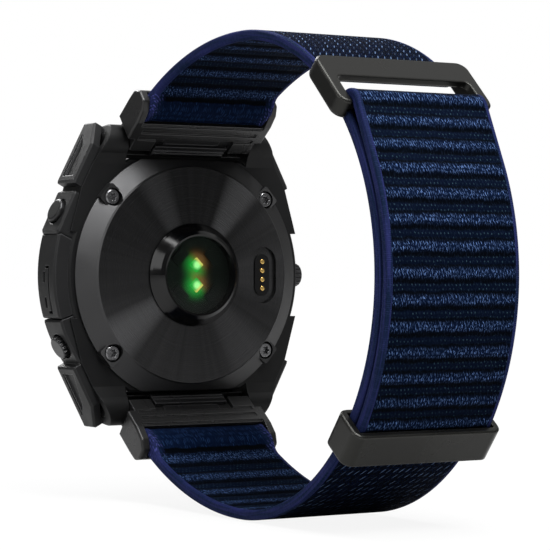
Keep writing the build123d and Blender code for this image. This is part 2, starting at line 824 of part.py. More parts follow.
def latch_spring():
    """Folded strip spring between the latch's tongue and the end of its guide."""
    start, end = latch_start + tongue_length, latch_start + tongue_length + spring_length
    low, high = tongue_foot + 0.1, tongue_top - 0.1
    turns = 4
    pitch = (end - start - spring_thickness) / turns
    strip = None
    for number in range(turns + 1):
        leaf = Pos(start + pitch * number, low) * Rectangle(spring_thickness, high - low, align=Align.MIN)
        strip = leaf if strip is None else strip + leaf
        if number < turns:
            level = high - spring_thickness if number % 2 == 0 else low
            bend = Rectangle(pitch + spring_thickness, spring_thickness, align=Align.MIN)
            strip += Pos(start + pitch * number, level) * bend
    return in_connector(strip, -spring_width / 2, spring_width / 2)


def strap_bar_rod():
    """Bar through the sewn eye."""
    return rod(strap_bar_radius, -half_band - 1.0, half_band + 1.0, *strap_bar)


# ---- Buckle and keeper ----------------------------------------------------------------------
def in_buckle(sketch, low, high):
    """Extrudes a buckle sketch (along the band, out from the loop's centre) from x = low to x = high."""
    plane = Plane(origin=(low, 0, 0), x_dir=(0, *buckle_tangent), z_dir=(1, 0, 0))
    return extrude(plane * sketch, high - low)


buckle_slot = half_band + buckle_slot_gap
buckle_half = buckle_slot + buckle_cheek
plate_low = hinge_out + hinge_eye + buckle_plate_gap
plate_top = plate_low + buckle_plate_thickness
cheek_low = hinge_out - buckle_bar_radius - 0.3
fold_out = math.sqrt(fold_distance**2 - fold_offset**2)


def buckle():
    """Rectangular buckle: front plate over the hinge, cheeks, and the bar that the tail folds round."""
    half = buckle_length / 2
    side = Pos(0, (cheek_low + plate_top) / 2) * Rectangle(buckle_length, plate_top - cheek_low)
    body = in_buckle(side, -buckle_half, buckle_half)
    face = Plane(origin=(0, 0, 0), x_dir=(1, 0, 0), z_dir=(0, *buckle_normal))
    foot = -1 if face.y_dir.Z > 0 else 1
    body &= extrude(face * RectangleRounded(2 * buckle_half, buckle_length, buckle_corner), THROUGH)
    levels = body.faces().sort_by(Axis(origin=(0, 0, 0), direction=(0, *buckle_normal)))
    body = chamfer(levels[-1].edges(), buckle_bevel)
    levels = body.faces().sort_by(Axis(origin=(0, 0, 0), direction=(0, *buckle_normal)))
    body = fillet(levels[0].edges(), buckle_round)
    opening_start = -half + buckle_plate_width
    opening = RectangleRounded(2 * buckle_slot, THROUGH, buckle_opening_corner)
    body -= extrude(face * Pos(0, foot * (opening_start + THROUGH / 2)) * opening, THROUGH)
    body -= in_buckle(Pos(0, plate_low - 20) * Rectangle(THROUGH, 40), -buckle_slot, buckle_slot)
    body -= buckle_hinge_bar()
    bar_end = buckle_half - fold_bar_inset
    return body + rod(fold_bar_radius, -bar_end, bar_end, *on_buckle(fold_offset, fold_out))


def buckle_hinge_bar():
    """Bar that the short strap is sewn round."""
    return rod(buckle_bar_radius, -buckle_half + bar_inset, buckle_half - bar_inset, *hinge_point)


def keeper():
    """Rectangular keeper round the band and its tail."""
    inner_low = loop_radius - band_thickness - keeper_clearance - 0.15
    inner_high = loop_radius + layer_gap + band_thickness + keeper_clearance
    tangent = (math.sin(math.radians(keeper_angle)), -math.cos(math.radians(keeper_angle)))
    plane = Plane(origin=(0, 0, 0), x_dir=(1, 0, 0), z_dir=(0, *tangent)).offset(-keeper_length / 2)
    sign = 1 if plane.y_dir.Y * polar(1, keeper_angle)[0] > 0 else -1
    middle = sign * (inner_low + inner_high) / 2
    opening_width = band_width + 2 * keeper_clearance
    opening_height = inner_high - inner_low
    outer = RectangleRounded(opening_width + 2 * keeper_wall + 0.4, opening_height + 2 * keeper_wall, keeper_corner)
    tube = extrude(plane * Pos(0, middle) * outer, keeper_length)
    tube = chamfer(tube.faces().sort_by(Axis(origin=(0, 0, 0), direction=(0, *tangent)))[0].edges(), 0.3)
    return tube - extrude(plane * Pos(0, middle) * Rectangle(opening_width, opening_height), keeper_length)


# ---- Output ---------------------------------------------------------------------------------
def save(name, solid):
    """Writes one node."""
    shape = Compound(children=[s.clean() for s in solid]) if isinstance(solid, list) else solid.clean()
    export_step(shape, f"parts/{name}.step")


os.makedirs("parts", exist_ok=True)
save("mid_case", mid_case())
save("bezel", bezel())
save("bezel_screws", bezel_screws())
save("lens", lens())
save("dial_ring", dial_ring())
save("display_module", display_module())
save("main_board", main_board())
save("battery", battery())
save("vibration_motor", vibration_motor())
save("switch_flex", switch_flex())
save("rear_cover", rear_cover())
save("rear_cover_screws", rear_cover_screws())
save("rear_gasket", gasket_ring())
save("sensor_ring", sensor_ring())
save("sensor_window", sensor_window())
save("sensor_board", sensor_board())
save("sensor_lamps", sensor_lamps())
save("sensor_photodiodes", sensor_photodiodes())
save("charge_insert", charge_insert())
save("charge_contacts", charge_contacts())
save("start_button_guard", start_guard())
save("vent_cover", vent_cover())
save("upper_right_guard", upper_right_guard())
save("lower_right_guard", lower_right_guard())
save("upper_left_guard", left_guard())
save("lower_left_guard", mirrored(left_guard(), Plane.XY))
save("upper_lug_pin", lug_pin(1))
save("lower_lug_pin", lug_pin(-1))
for button_name in BUTTONS:
    save(f"{button_name}_button", button(button_name))
    save(f"{button_name}_button_clip", button_clip(button_name))
save("button_seals", button_seals())
save("upper_connector", connector())
save("lower_connector", mirrored(connector(), Plane.XY))
save("upper_latch", latch())
save("lower_latch", mirrored(latch(), Plane.XY))
save("upper_latch_spring", latch_spring())
save("lower_latch_spring", mirrored(latch_spring(), Plane.XY))
save("upper_strap_bar", strap_bar_rod())
save("lower_strap_bar", mirrored(strap_bar_rod(), Plane.XY))
save("upper_strap", upper_strap())
save("lower_strap", lower_strap())
save("hook_tape", hook_tape())
save("buckle", buckle())
save("buckle_hinge_bar", buckle_hinge_bar())
save("keeper", keeper())
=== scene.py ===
"""Looks of a rugged sports watch on a nylon hook-and-loop band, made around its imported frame.

Every piece is in metres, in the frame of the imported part: +X towards 3 o'clock, +Z towards 12
o'clock, and the wrist on the +Y side of the case.
"""

from __future__ import annotations

import json
import logging
import math
from dataclasses import dataclass, field
from enum import Enum

import bpy
from mathutils import Matrix, Vector


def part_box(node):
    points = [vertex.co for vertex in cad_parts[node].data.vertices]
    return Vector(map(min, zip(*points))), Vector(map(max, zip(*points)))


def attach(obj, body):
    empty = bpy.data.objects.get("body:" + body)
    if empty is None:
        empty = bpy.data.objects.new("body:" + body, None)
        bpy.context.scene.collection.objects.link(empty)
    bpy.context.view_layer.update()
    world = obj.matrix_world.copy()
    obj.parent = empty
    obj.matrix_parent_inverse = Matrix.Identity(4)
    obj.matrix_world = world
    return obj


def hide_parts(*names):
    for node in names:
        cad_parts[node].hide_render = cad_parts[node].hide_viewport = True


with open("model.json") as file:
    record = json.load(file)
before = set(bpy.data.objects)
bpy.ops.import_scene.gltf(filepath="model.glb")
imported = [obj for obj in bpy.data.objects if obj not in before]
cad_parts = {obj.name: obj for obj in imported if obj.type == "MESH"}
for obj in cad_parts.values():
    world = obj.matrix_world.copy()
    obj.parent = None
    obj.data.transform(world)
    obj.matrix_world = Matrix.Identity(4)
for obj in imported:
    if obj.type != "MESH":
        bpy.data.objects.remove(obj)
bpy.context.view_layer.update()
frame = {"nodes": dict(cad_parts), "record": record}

log = logging.getLogger("watch")
MM = 0.001
Colour = tuple[float, float, float, float]
Point = tuple[float, float]


# ---- Node trees ------------------------------------------------------------------------------
class Side(Enum):
    """The side of the webbing that a face is on."""

    OUTER = 0
    RIBBED = 1
    EDGE = 2


class Graph:
    """A node tree with short calls for adding and joining its nodes."""

    def __init__(self, tree: bpy.types.NodeTree) -> None:
        """Takes the tree to work in.

        Args:
            tree: A material's, world's or group's node tree.
        """
        self.tree = tree

    def feed(self, socket: bpy.types.NodeSocket, value: object) -> None:
        """Joins or sets a socket.

        Args:
            socket: The input to fill.
            value: Another socket, a number or a colour.
        """
        if isinstance(value, bpy.types.NodeSocket):
            self.tree.links.new(value, socket)
        else:
            socket.default_value = value

    def add(
        self, kind: str, inputs: dict[str | int, object] | None = None, **settings: object
    ) -> bpy.types.Node:
        """Adds a node.

        Args:
            kind: The node's type, without its ShaderNode prefix.
            inputs: Values or sockets for its inputs, by name or place.
            settings: Properties of the node.

        Returns:
            The new node.
        """
        node = self.tree.nodes.new("ShaderNode" + kind)
        for name, value in settings.items():
            setattr(node, name, value)
        for name, value in (inputs or {}).items():
            self.feed(node.inputs[name], value)
        return node

    def math(self, operation: str, *values: object, clamp: bool = False) -> bpy.types.NodeSocket:
        """Adds a Math node and returns its output."""
        inputs = dict(enumerate(values))
        return self.add("Math", inputs, operation=operation, use_clamp=clamp).outputs[0]

    def ramp(
        self, value: object, low: float, high: float, start: float = 0.0, end: float = 1.0
    ) -> bpy.types.NodeSocket:
        """Maps a value smoothly from low..high to start..end, and clamps it."""
        inputs = {"Value": value, "From Min": low, "From Max": high, "To Min": start, "To Max": end}
        return self.add("MapRange", inputs, interpolation_type="SMOOTHSTEP").outputs["Result"]

    def blend(self, factor: object, first: object, second: object) -> bpy.types.NodeSocket:
        """Mixes two colours and returns the result."""
        node = self.tree.nodes.new("ShaderNodeMix")
        node.data_type = "RGBA"
        for place, value in ((0, factor), (6, first), (7, second)):
            self.feed(node.inputs[place], value)
        return node.outputs[2]

    def group(self, name: str, inputs: dict[str, object]) -> bpy.types.Node:
        """Places a shared effect.

        Args:
            name: The node group's name.
            inputs: Values or sockets for its named inputs.

        Returns:
            The group node.
        """
        node = self.tree.nodes.new("ShaderNodeGroup")
        node.node_tree = bpy.data.node_groups[name]
        for key, value in inputs.items():
            self.feed(node.inputs[key], value)
        return node


def new_group(
    name: str, inputs: dict[str, tuple[str, object]], outputs: dict[str, str]
) -> tuple[Graph, bpy.types.Node, bpy.types.Node]:
    """Starts a shader node group.

    Args:
        name: The group's name.
        inputs: Kind (Float, Color, Vector) and default of each input.
        outputs: Kind of each output.

    Returns:
        Its graph, its input node and its output node.
    """
    tree = bpy.data.node_groups.new(name, "ShaderNodeTree")
    for key, (kind, default) in inputs.items():
        socket = tree.interface.new_socket(key, in_out="INPUT", socket_type="NodeSocket" + kind)
        if default is not None:
            socket.default_value = default
    for key, kind in outputs.items():
        tree.interface.new_socket(key, in_out="OUTPUT", socket_type="NodeSocket" + kind)
    return Graph(tree), tree.nodes.new("NodeGroupInput"), tree.nodes.new("NodeGroupOutput")


class Effects:
    """The shared effects: mottle, lighter edges (partly wear, partly painted highlight) and thread rows."""

    def build(self) -> None:
        """Builds every group once."""
        self.mottle()
        self.worn_and_highlit_edges()
        self.thread_rows()

    def mottle(self) -> None:
        """Cloudy change of tone over a surface, with fine grain on it."""
        graph, given, made = new_group(
            "mottle",
            {"Scale": ("Float", 200.0), "Grain Scale": ("Float", 4000.0)},
            {"Tone": "Float", "Grain": "Float"},
        )
        place = graph.add("TexCoord").outputs["Object"]
        cloud = graph.add("TexNoise", {"Vector": place, "Scale": given.outputs["Scale"], "Detail": 3.0})
        grain = graph.add("TexNoise", {"Vector": place, "Scale": given.outputs["Grain Scale"], "Detail": 1.0})
        graph.feed(made.inputs["Tone"], cloud.outputs["Fac"])
        graph.feed(made.inputs["Grain"], grain.outputs["Fac"])

    def worn_and_highlit_edges(self) -> None:
        """Mask of a piece's edges, and its normal with those edges softened."""
        graph, given, made = new_group(
            "worn and highlit edges",
            {"Radius": ("Float", 0.0002), "Strength": ("Float", 1.0)},
            {"Edge": "Float", "Normal": "Vector"},
        )
        soft = graph.add("Bevel", {"Radius": given.outputs["Radius"]}, samples=6).outputs["Normal"]
        true = graph.add("NewGeometry").outputs["True Normal"]
        dot = graph.add("VectorMath", {0: soft, 1: true}, operation="DOT_PRODUCT").outputs["Value"]
        away = graph.math("SUBTRACT", 1.0, dot)
        mask = graph.ramp(graph.math("MULTIPLY", away, given.outputs["Strength"]), 0.02, 0.3)
        graph.feed(made.inputs["Edge"], mask)
        graph.feed(made.inputs["Normal"], soft)

    def thread_rows(self) -> None:
        """Short slanted threads in staggered rows, from a piece's own UV map."""
        graph, given, made = new_group(
            "thread rows",
            {
                "Vector": ("Vector", None),
                "Spacing": ("Float", 0.001),
                "Pitch": ("Float", 0.001),
                "Lean": ("Float", 0.4),
                "Width": ("Float", 0.2),
                "Length": ("Float", 0.4),
                "Stray": ("Float", 0.2),
                "Seed": ("Float", 0.0),
            },
            {"Mask": "Float", "Tone": "Float"},
        )
        parts = graph.add("SeparateXYZ", {0: given.outputs["Vector"]})
        along = graph.math("DIVIDE", parts.outputs["Y"], given.outputs["Pitch"])
        row = graph.math("FLOOR", along)
        rise = graph.math("SUBTRACT", graph.math("FRACT", along), 0.5)
        across = graph.math("DIVIDE", parts.outputs["X"], given.outputs["Spacing"])
        shifted = graph.math("ADD", across, graph.math("MULTIPLY", row, 0.43))
        leaned = graph.math("ADD", shifted, graph.math("MULTIPLY", rise, given.outputs["Lean"]))
        column = graph.math("FLOOR", leaned)
        side = graph.math("SUBTRACT", graph.math("FRACT", leaned), 0.5)
        cell = graph.add("CombineXYZ", {0: column, 1: row, 2: given.outputs["Seed"]}).outputs[0]
        chance = graph.add("TexWhiteNoise", {"Vector": cell}, noise_dimensions="3D")
        drift = graph.add("SeparateXYZ", {0: chance.outputs["Color"]})
        stray = given.outputs["Stray"]
        off_side = graph.math("MULTIPLY", graph.math("SUBTRACT", drift.outputs["X"], 0.5), stray)
        off_rise = graph.math("MULTIPLY", graph.math("SUBTRACT", drift.outputs["Y"], 0.5), stray)
        wide = graph.math("DIVIDE", graph.math("ADD", side, off_side), given.outputs["Width"])
        long = graph.math("DIVIDE", graph.math("ADD", rise, off_rise), given.outputs["Length"])
        spread = graph.math("ADD", graph.math("MULTIPLY", wide, wide), graph.math("MULTIPLY", long, long))
        graph.feed(made.inputs["Mask"], graph.ramp(spread, 1.0, 0.25))
        graph.feed(made.inputs["Tone"], chance.outputs["Value"])


# ---- Finishes --------------------------------------------------------------------------------
def new_material(name: str) -> tuple[bpy.types.Material, Graph, bpy.types.Node]:
    """Starts a material.

    Args:
        name: The finish's name.

    Returns:
        The material, its graph and its Principled BSDF.
    """
    material = bpy.data.materials.new(name)
    material.use_nodes = True
    shader = material.node_tree.nodes["Principled BSDF"]
    return material, Graph(material.node_tree), shader


def shade(colour: Colour, factor: float) -> Colour:
    """A darker or lighter shade of a colour, up to white."""
    return tuple(min(1.0, part * factor) for part in colour[:3]) + (1.0,)


@dataclass(frozen=True)
class MouldedPolymer:
    """Moulded plastic or rubber with a fine grain and slightly polished edges, painted lighter: partly wear,
    partly a painted highlight.
    """

    name: str
    colour: Colour
    roughness: float = 0.55
    edge_tone: float = 1.6
    edge_radius: float = 0.2 * MM
    grain: float = 0.02 * MM

    def build(self) -> bpy.types.Material:
        """Builds the material."""
        material, graph, shader = new_material(self.name)
        tone = graph.group("mottle", {"Scale": 160.0, "Grain Scale": 5200.0})
        edge = graph.group("worn and highlit edges", {"Radius": self.edge_radius, "Strength": 2.0})
        dark = shade(self.colour, 0.8)
        # Lighter edges: partly wear, partly a painted highlight along the bevels.
        edge_wear_and_highlight = shade(self.colour, self.edge_tone)
        base = graph.blend(tone.outputs["Tone"], dark, self.colour)
        base = graph.blend(edge.outputs["Edge"], base, edge_wear_and_highlight)
        graph.feed(shader.inputs["Base Color"], base)
        rough = graph.ramp(tone.outputs["Tone"], 0.3, 0.7, self.roughness + 0.06, self.roughness - 0.06)
        polish = graph.math("MULTIPLY", edge.outputs["Edge"], 0.12)
        graph.feed(shader.inputs["Roughness"], graph.math("SUBTRACT", rough, polish))
        shader.inputs["Specular IOR Level"].default_value = 0.16
        bump = graph.add("Bump", {
            "Strength": 0.5, "Distance": self.grain,
            "Height": tone.outputs["Grain"], "Normal": edge.outputs["Normal"],
        })
        graph.feed(shader.inputs["Normal"], bump.outputs["Normal"])
        return material


@dataclass(frozen=True)
class CoatedMetal:
    """Metal under a dark coating: satin, with a fine blasted grain and lighter edges, partly wear and partly
    a painted highlight.
    """

    name: str
    colour: Colour
    roughness: float = 0.32
    metallic: float = 0.85
    edge_tone: float = 2.2
    edge_radius: float = 0.25 * MM
    grain: float = 0.006 * MM

    def build(self) -> bpy.types.Material:
        """Builds the material."""
        material, graph, shader = new_material(self.name)
        tone = graph.group("mottle", {"Scale": 120.0, "Grain Scale": 9000.0})
        edge = graph.group("worn and highlit edges", {"Radius": self.edge_radius, "Strength": 2.5})
        dark = shade(self.colour, 0.85)
        # Lighter edges: partly wear, partly a painted highlight along the bevels.
        edge_wear_and_highlight = shade(self.colour, self.edge_tone)
        base = graph.blend(tone.outputs["Tone"], dark, self.colour)
        graph.feed(shader.inputs["Base Color"], graph.blend(edge.outputs["Edge"], base, edge_wear_and_highlight))
        shader.inputs["Metallic"].default_value = self.metallic
        rough = graph.ramp(tone.outputs["Tone"], 0.3, 0.7, self.roughness + 0.04, self.roughness - 0.04)
        graph.feed(shader.inputs["Roughness"], rough)
        bump = graph.add("Bump", {
            "Strength": 0.4, "Distance": self.grain,
            "Height": tone.outputs["Grain"], "Normal": edge.outputs["Normal"],
        })
        graph.feed(shader.inputs["Normal"], bump.outputs["Normal"])
        return material


@dataclass(frozen=True)
class TurnedMetal:
    """Metal turned on a lathe about the case's axis: circular grooves that stretch the highlights, and
    painted highlight beams in the colour.
    """

    name: str
    colour: Colour
    roughness: float = 0.3
    groove_pitch: float = 0.09 * MM
    groove_depth: float = 0.012 * MM
    disc_radius: float = 20.2 * MM
    rim_colour: Colour = (0.042, 0.042, 0.043, 1.0)
    # Painted highlight beams: sectors of the disc painted paler, standing in for the turned metal's
    # reflections.
    painted_beams: tuple[tuple[float, float, float], ...] = (  # direction, half width, strength
        (123.0, 13.0, 0.95), (64.0, 12.0, 0.4), (-36.0, 15.0, 0.5), (-128.0, 18.0, 0.25), (178.0, 22.0, 0.15),
    )

    def build(self) -> bpy.types.Material:
        """Builds the material."""
        material, graph, shader = new_material(self.name)
        parts = graph.add("SeparateXYZ", {0: graph.add("TexCoord").outputs["Object"]})
        x, z = parts.outputs["X"], parts.outputs["Z"]
        squares = graph.math("ADD", graph.math("MULTIPLY", x, x), graph.math("MULTIPLY", z, z))
        radius = graph.math("SQRT", squares)
        ring = graph.math("DIVIDE", radius, self.groove_pitch)
        rings = graph.add("TexNoise", {"W": ring, "Scale": 1.0, "Detail": 3.0}, noise_dimensions="1D")
        groove = rings.outputs["Fac"]
        turn = graph.math("ARCTAN2", z, x)
        cosine, sine = graph.math("COSINE", turn), graph.math("SINE", turn)
        around = graph.add("CombineXYZ", {0: cosine, 1: sine}).outputs[0]
        streak = graph.add("TexNoise", {"Vector": around, "Scale": 14.0, "Detail": 4.0}).outputs["Fac"]
        inside = graph.ramp(radius, self.disc_radius + 0.15 * MM, self.disc_radius - 0.05 * MM)
        tone = graph.group("mottle", {"Scale": 150.0, "Grain Scale": 8000.0})
        deep = shade(self.colour, 0.62)
        # Paler colour for the painted highlight beams.
        pale = shade(self.colour, 4.5)
        disc = graph.blend(graph.ramp(streak, 0.3, 0.7), deep, self.colour)
        # Painted highlight beams in set directions round the disc's middle.
        for degrees, spread, strength in self.painted_beams:
            near = graph.math("COSINE", graph.math("SUBTRACT", turn, math.radians(degrees)))
            beam_highlight = graph.ramp(near, math.cos(math.radians(spread)), 1.0, 0.0, strength)
            disc = graph.blend(beam_highlight, disc, pale)
        disc = graph.blend(graph.ramp(groove, 0.3, 0.7, 0.0, 0.45), disc, deep)
        graph.feed(shader.inputs["Base Color"], graph.blend(inside, self.rim_colour, disc))
        shader.inputs["Metallic"].default_value = 0.85
        worn = graph.ramp(groove, 0.3, 0.7, self.roughness - 0.05, self.roughness + 0.08)
        blasted = graph.ramp(tone.outputs["Tone"], 0.3, 0.7, 0.46, 0.38)
        outside = graph.math("SUBTRACT", 1.0, inside)
        turned, rim = graph.math("MULTIPLY", inside, worn), graph.math("MULTIPLY", outside, blasted)
        graph.feed(shader.inputs["Roughness"], graph.math("ADD", turned, rim))
        shader.inputs["Anisotropic"].default_value = 0.75
        tangent = graph.add("Tangent", direction_type="RADIAL", axis="Y").outputs[0]
        graph.feed(shader.inputs["Tangent"], tangent)
        height = graph.math("MULTIPLY", groove, inside)
        bump = graph.add("Bump", {"Strength": 0.6, "Distance": self.groove_depth, "Height": height})
        graph.feed(shader.inputs["Normal"], bump.outputs["Normal"])
        return material


@dataclass(frozen=True)
class Gloss:
    """Polished plastic or metal with faint smears."""

    name: str
    colour: Colour
    roughness: float = 0.06
    metallic: float = 0.0
    coat: float = 0.5
    specular: float = 0.5

    def build(self) -> bpy.types.Material:
        """Builds the material."""
        material, graph, shader = new_material(self.name)
        tone = graph.group("mottle", {"Scale": 220.0, "Grain Scale": 6000.0})
        dark = shade(self.colour, 0.8)
        graph.feed(shader.inputs["Base Color"], graph.blend(tone.outputs["Tone"], dark, self.colour))
        smear = graph.ramp(tone.outputs["Tone"], 0.35, 0.75, self.roughness, self.roughness + 0.08)
        graph.feed(shader.inputs["Roughness"], smear)
        shader.inputs["Metallic"].default_value = self.metallic
        shader.inputs["Specular IOR Level"].default_value = self.specular
        shader.inputs["Coat Weight"].default_value = self.coat
        shader.inputs["Coat Roughness"].default_value = 0.03
        return material


@dataclass(frozen=True)
class TintedGlass:
    """Dark tinted glass with faint smears."""

    name: str
    colour: Colour
    roughness: float = 0.02
    ior: float = 1.45

    def build(self) -> bpy.types.Material:
        """Builds the material."""
        material, graph, shader = new_material(self.name)
        tone = graph.group("mottle", {"Scale": 180.0, "Grain Scale": 3000.0})
        dark = shade(self.colour, 0.85)
        graph.feed(shader.inputs["Base Color"], graph.blend(tone.outputs["Tone"], dark, self.colour))
        smear = graph.ramp(tone.outputs["Tone"], 0.4, 0.8, self.roughness, self.roughness + 0.05)
        graph.feed(shader.inputs["Roughness"], smear)
        shader.inputs["Transmission Weight"].default_value = 1.0
        shader.inputs["IOR"].default_value = self.ior
        return material


@dataclass(frozen=True)
class GreenLamp:
    """A lit green lamp, brightest in its middle, with a warm side."""

    name: str
    lamp_height: float = 1.9 * MM
    strength: float = 1.7

    def build(self) -> bpy.types.Material:
        """Builds the material."""
        material, graph, shader = new_material(self.name)
        parts = graph.add("SeparateXYZ", {0: graph.add("TexCoord").outputs["Object"]})
        height = graph.math("SUBTRACT", graph.math("ABSOLUTE", parts.outputs["Z"]), self.lamp_height)
        up, across = graph.math("POWER", height, 2.0), graph.math("POWER", parts.outputs["X"], 2.0)
        squares = graph.math("ADD", up, across)
        away = graph.math("POWER", squares, 0.5)
        core = graph.ramp(away, 1.15 * MM, 0.25 * MM)
        side = graph.math("SUBTRACT", height, parts.outputs["X"])
        warm = graph.math("MULTIPLY", graph.ramp(side, 0.1 * MM, 1.5 * MM), 0.8)
        colour = graph.blend(core, (0.012, 0.3, 0.035, 1.0), (0.42, 1.0, 0.34, 1.0))
        colour = graph.blend(warm, colour, (0.95, 0.62, 0.16, 1.0))
        graph.feed(shader.inputs["Base Color"], colour)
        graph.feed(shader.inputs["Emission Color"], colour)
        shader.inputs["Emission Strength"].default_value = self.strength
        return material


@dataclass(frozen=True)
class LitBoard:
    """Dark circuit board with a painted green glow, emitted by the board itself, around the two lamps of the
    sensor.
    """

    name: str
    colour: Colour
    lamp_height: float = 1.9 * MM
    lamp_reach: float = 4.4 * MM
    rear_side: float = -39.5 * MM  # the sensor's board lies behind this, the main board in front

    def build(self) -> bpy.types.Material:
        """Builds the material."""
        material, graph, shader = new_material(self.name)
        parts = graph.add("SeparateXYZ", {0: graph.add("TexCoord").outputs["Object"]})
        # Painted glow: green light round each lamp, orange towards one side, emitted by the board.
        glow = warm = None
        for side in (1, -1):
            lamp = (0.0, side * self.lamp_height, 0.0)
            rise = graph.math("SUBTRACT", parts.outputs["Z"], side * self.lamp_height)
            spread = graph.math("SUBTRACT", rise, parts.outputs["X"])
            flat = graph.add("CombineXYZ", {0: parts.outputs["X"], 1: parts.outputs["Z"]}).outputs[0]
            away = graph.add("VectorMath", {0: flat, 1: lamp}, operation="DISTANCE").outputs["Value"]
            halo = graph.ramp(away, self.lamp_reach, 0.5 * MM)
            halo = graph.math("POWER", halo, 2.4)
            glow = halo if glow is None else graph.math("ADD", glow, halo)
            warmth = graph.math("MULTIPLY", halo, graph.ramp(spread, -0.6 * MM, 2.4 * MM))
            warm = warmth if warm is None else graph.math("ADD", warm, warmth)
        behind = graph.math("GREATER_THAN", parts.outputs["Y"], self.rear_side)
        warm = graph.math("DIVIDE", warm, graph.math("MAXIMUM", glow, 0.001), clamp=True)
        glow_colour = graph.blend(warm, (0.025, 0.6, 0.07, 1.0), (0.5, 0.2, 0.05, 1.0))
        tone = graph.group("mottle", {"Scale": 900.0, "Grain Scale": 6000.0})
        dark = shade(self.colour, 0.6)
        graph.feed(shader.inputs["Base Color"], graph.blend(tone.outputs["Tone"], dark, self.colour))
        shader.inputs["Roughness"].default_value = 0.45
        painted_glow = graph.blend(graph.math("MULTIPLY", glow, behind, clamp=True), (0.0, 0.0, 0.0, 1.0), glow_colour)
        graph.feed(shader.inputs["Emission Color"], painted_glow)
        shader.inputs["Emission Strength"].default_value = 0.9
        return material


@dataclass(frozen=True)
class DialPrint:
    """Matt dial ring with pale ticks in its cut marks."""

    name: str
    colour: Colour
    ticks: int = 12

    def build(self) -> bpy.types.Material:
        """Builds the material."""
        material, graph, shader = new_material(self.name)
        parts = graph.add("SeparateXYZ", {0: graph.add("TexCoord").outputs["Object"]})
        turn = graph.math("ARCTAN2", parts.outputs["Z"], parts.outputs["X"])
        step = graph.math("MULTIPLY", turn, self.ticks / math.tau)
        share = graph.math("FRACT", graph.math("ADD", step, 0.5))
        away = graph.math("ABSOLUTE", graph.math("SUBTRACT", share, 0.5))
        pale = graph.ramp(away, 0.022, 0.018)
        graph.feed(shader.inputs["Base Color"], graph.blend(pale, self.colour, (0.75, 0.77, 0.75, 1.0)))
        tone = graph.group("mottle", {"Scale": 300.0, "Grain Scale": 6000.0})
        graph.feed(shader.inputs["Roughness"], graph.ramp(tone.outputs["Tone"], 0.3, 0.7, 0.6, 0.45))
        return material


@dataclass(frozen=True)
class RibWeave:
    """The places of the ribs along the webbing, shared by its mesh and its finish."""

    pitch: float = 4.2 * MM
    crown: float = 0.27  # middle of the fuzzy rib, as a share of the pitch
    crown_half: float = 0.25
    dotted: float = 0.80  # middle of the dotted rows
    dotted_half: float = 0.16
    near_pitch: float = 7.3 * MM  # wider ribs beside a connector
    near_crown: float = 6.2 * MM  # first rib's middle, from the strap bar
    near_end: float = 60.0 * MM

    def count(self, along: float) -> float:
        """Ribs passed up to a place along a strap.

        Args:
            along: Distance from the strap bar.

        Returns:
            The count, with the share of the rib that is under way.
        """
        near = (min(along, self.near_end) - self.near_crown) / self.near_pitch + self.crown
        return near + max(0.0, along - self.near_end) / self.pitch


